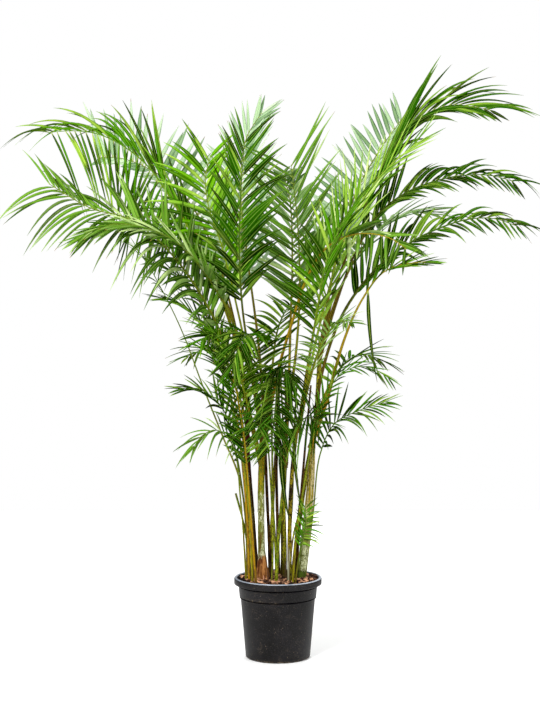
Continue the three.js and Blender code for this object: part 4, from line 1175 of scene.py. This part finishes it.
def pot_outline():
    """The wall in (radius, height) points: up the outside, over the lip, and down the
    inside to the floor."""
    return [
        (0, 0),
        (FOOT_RADIUS - 8, 0),
        (FOOT_RADIUS - 4, 0.6),
        (FOOT_RADIUS - 1, 3),
        (FOOT_RADIUS, 7),
        (BODY_TOP_RADIUS - 1, BAND_BOTTOM - 9),
        (BODY_TOP_RADIUS - 1.2, BAND_BOTTOM - 5),
        (BAND_RADIUS - 0.8, BAND_BOTTOM - 3),
        (BAND_RADIUS, BAND_BOTTOM + 2),
        (BAND_TOP_RADIUS - 0.5, LIP_BOTTOM - 9),
        (BAND_TOP_RADIUS + 0.5, LIP_BOTTOM - 3),
        (BAND_TOP_RADIUS + 5, LIP_BOTTOM - 0.5),
        (RIM_RADIUS - 3, LIP_BOTTOM),
        (RIM_RADIUS - 0.6, LIP_BOTTOM + 1.5),
        (RIM_RADIUS, LIP_BOTTOM + 4),
        (RIM_RADIUS, POT_HEIGHT - 7),
        (RIM_RADIUS - 1, POT_HEIGHT - 3),
        (RIM_RADIUS - 3.5, POT_HEIGHT - 0.6),
        (RIM_RADIUS - 6, POT_HEIGHT),
        (RIM_RADIUS - 9, POT_HEIGHT - 0.8),
        (RIM_RADIUS - 11.5, POT_HEIGHT - 4),
        (BAND_TOP_RADIUS + 1, LIP_BOTTOM + 6),
        (BAND_TOP_RADIUS - WALL, LIP_BOTTOM - 8),
        (BAND_RADIUS - WALL, BAND_BOTTOM + 6),
        (BODY_TOP_RADIUS - WALL, BAND_BOTTOM - 6),
        (FOOT_RADIUS - WALL, FLOOR_TOP),
        (0, FLOOR_TOP),
    ]


def add_pot():
    """The outline turned about the Z axis, with a painted pale highlight on the lip's top
    and painted shade on the steps under the lip and the band."""
    made = new_mesh()
    verts = [made.verts.new((radius, 0, height)) for radius, height in pot_outline()]
    edges = [made.edges.new(pair) for pair in zip(verts, verts[1:])]
    bmesh.ops.spin(
        made, geom=verts + edges, cent=(0, 0, 0), axis=(0, 0, 1), angle=TURN, steps=POT_SIDES, use_merge=True
    )
    bmesh.ops.remove_doubles(made, verts=made.verts, dist=0.001)
    for face in made.faces:
        height = face.calc_center_median().z
        # Faces along the lip's top get the painted pale highlight.
        if height > POT_HEIGHT - PAINTED_HIGHLIGHT_EDGE:
            face.material_index = 1
        # Faces on the steps under the band and under the lip get the painted shade.
        elif BAND_BOTTOM - 6 < height < BAND_BOTTOM or LIP_BOTTOM - 8 < height < LIP_BOTTOM - 0.2:
            face.material_index = 2
    finish_piece(made, "pot_wall", "pot", "black_plastic", [WALL_PLASTIC, RIM_HIGHLIGHT_PLASTIC, PAINTED_SHADE_PLASTIC])


def soil_height(x, y):
    slow = math.sin(x * 0.043 + 1) * math.cos(y * 0.037)
    quick = math.sin(x * 0.11 + y * 0.05) * math.cos(y * 0.13 - 0.7)
    return SOIL_LEVEL + 6 * (0.6 * slow + 0.5 * quick)


def add_mound():
    """The mix as one closed mound, its last ring turned down inside the pot."""
    made = new_mesh()

    def place(across, along):
        turn = across * TURN
        if along > 0.95:
            return around(turn, SOIL_RADIUS - 8, SOIL_LEVEL - 60)
        point = around(turn, along / 0.95 * SOIL_RADIUS, 0)
        rough = 1.4 * math.sin(point.x * 0.9 + point.y * 0.4) * math.cos(point.y * 0.8 - point.x * 0.3)
        point.z = soil_height(point.x, point.y) + rough
        return point

    roll_up(made, *sheet(made, 72, 22, place))
    set_tone(made, made.faces, 0.3)
    finish_piece(made, "soil_mound", "soil", "bark_mix", [MIX])


def add_chips():
    """Loose chips and fibres that lie on the mix at all angles."""
    draw = random.Random(5)
    chips = new_mesh()
    for _ in range(CHIP_COUNT):
        turn = draw.uniform(0, TURN)
        spot = around(turn, SOIL_RADIUS * math.sqrt(draw.random()) * 0.97, 0)
        long = draw.choice((draw.uniform(7, 13), draw.uniform(13, 32)))
        size = Vector((long, long * draw.uniform(0.2, 0.5), long * draw.uniform(0.12, 0.26)))
        old = set(chips.faces)
        cube = bmesh.ops.create_cube(chips, size=1, calc_uvs=True)["verts"]
        for vert in cube:
            vert.co *= size * Vector((draw.uniform(0.7, 1.15), draw.uniform(0.6, 1.2), 1))
        tilt = Matrix.Rotation(draw.uniform(-0.5, 0.5), 4, "X")
        tilt @= Matrix.Rotation(draw.uniform(-0.4, 0.4), 4, "Y")
        heading = Matrix.Rotation(draw.uniform(0, math.pi), 4, "Z")
        spot.z = soil_height(spot.x, spot.y) + size.z * draw.uniform(0.1, 0.9)
        bmesh.ops.transform(chips, matrix=Matrix.Translation(spot) @ heading @ tilt, verts=cube)
        set_tone(chips, [face for face in chips.faces if face not in old], draw.random())
    piece = finish_piece(chips, "soil_chips", "soil", "bark_mix", [CHIPS], closed=False, smooth=False)
    edge = piece.modifiers.new("worn_edges", "BEVEL")
    edge.width = 0.5 * MM
    edge.segments = 1
    edge.limit_method = "NONE"


# ----------------------------------------------------------------- floor, light


def add_floor():
    """A matt white floor that glows towards its edges, where it meets the white
    behind it."""
    made = bmesh.new()
    bmesh.ops.create_grid(made, x_segments=1, y_segments=1, size=FLOOR_HALF_SIZE)
    data = bpy.data.meshes.new("floor")
    made.to_mesh(data)
    made.free()
    paint = bpy.data.materials.new("floor_paint")
    paint.use_nodes = True
    nodes = Nodes(paint.node_tree)
    shader = paint.node_tree.nodes["Principled BSDF"].inputs
    distance = nodes.add("ShaderNodeVectorMath", {0: nodes.place()}, operation="LENGTH").outputs["Value"]
    nodes.feed(shader["Base Color"], (0.95, 0.95, 0.95, 1))
    nodes.feed(shader["Roughness"], 0.9)
    nodes.feed(shader["Emission Color"], nodes.smooth(distance, 1.6, 3.6))
    nodes.feed(shader["Emission Strength"], 0.3)
    data.materials.append(paint)
    floor = add_object("floor", data)
    floor.location.z = -0.5 * MM


def add_lights():
    """White seen behind the plant, a dimmer white on it, and three soft lamps."""
    world = bpy.data.worlds.new("studio")
    bpy.context.scene.world = world
    world.use_nodes = True
    nodes = Nodes(world.node_tree)
    seen = nodes.add("ShaderNodeLightPath").outputs["Is Camera Ray"]
    sky = world.node_tree.nodes["Background"].inputs
    nodes.feed(sky["Strength"], nodes.smooth(seen, 0, 1, ROOM_LIGHT, 1.0))
    nodes.feed(sky["Color"], (1, 1, 1, 1))
    for name, (place, width, power) in LAMPS.items():
        lamp = bpy.data.lights.new(name, "AREA")
        lamp.energy = power
        lamp.size = width
        holder = add_object(name, lamp)
        holder.location = place
        holder.rotation_euler = (PLANT_MIDDLE - Vector(place)).to_track_quat("-Z", "Y").to_euler()


def add_camera():
    """At the photograph's viewing angle."""
    lens = bpy.data.cameras.new("camera")
    lens.sensor_width = 36
    lens.lens = CAMERA_LENS
    camera = add_object("camera", lens)
    camera.location = CAMERA_PLACE
    camera.rotation_euler = (math.radians(90 - CAMERA_TILT), 0, 0)
    bpy.context.scene.camera = camera


for number, frond in enumerate(FRONDS, start=1):
    add_frond(frond, random.Random(number))
for cane in CANES:
    add_cane(cane)
add_pot()
add_mound()
add_chips()
add_floor()
add_lights()
add_camera()
bpy.context.scene.view_settings.view_transform = "Standard"
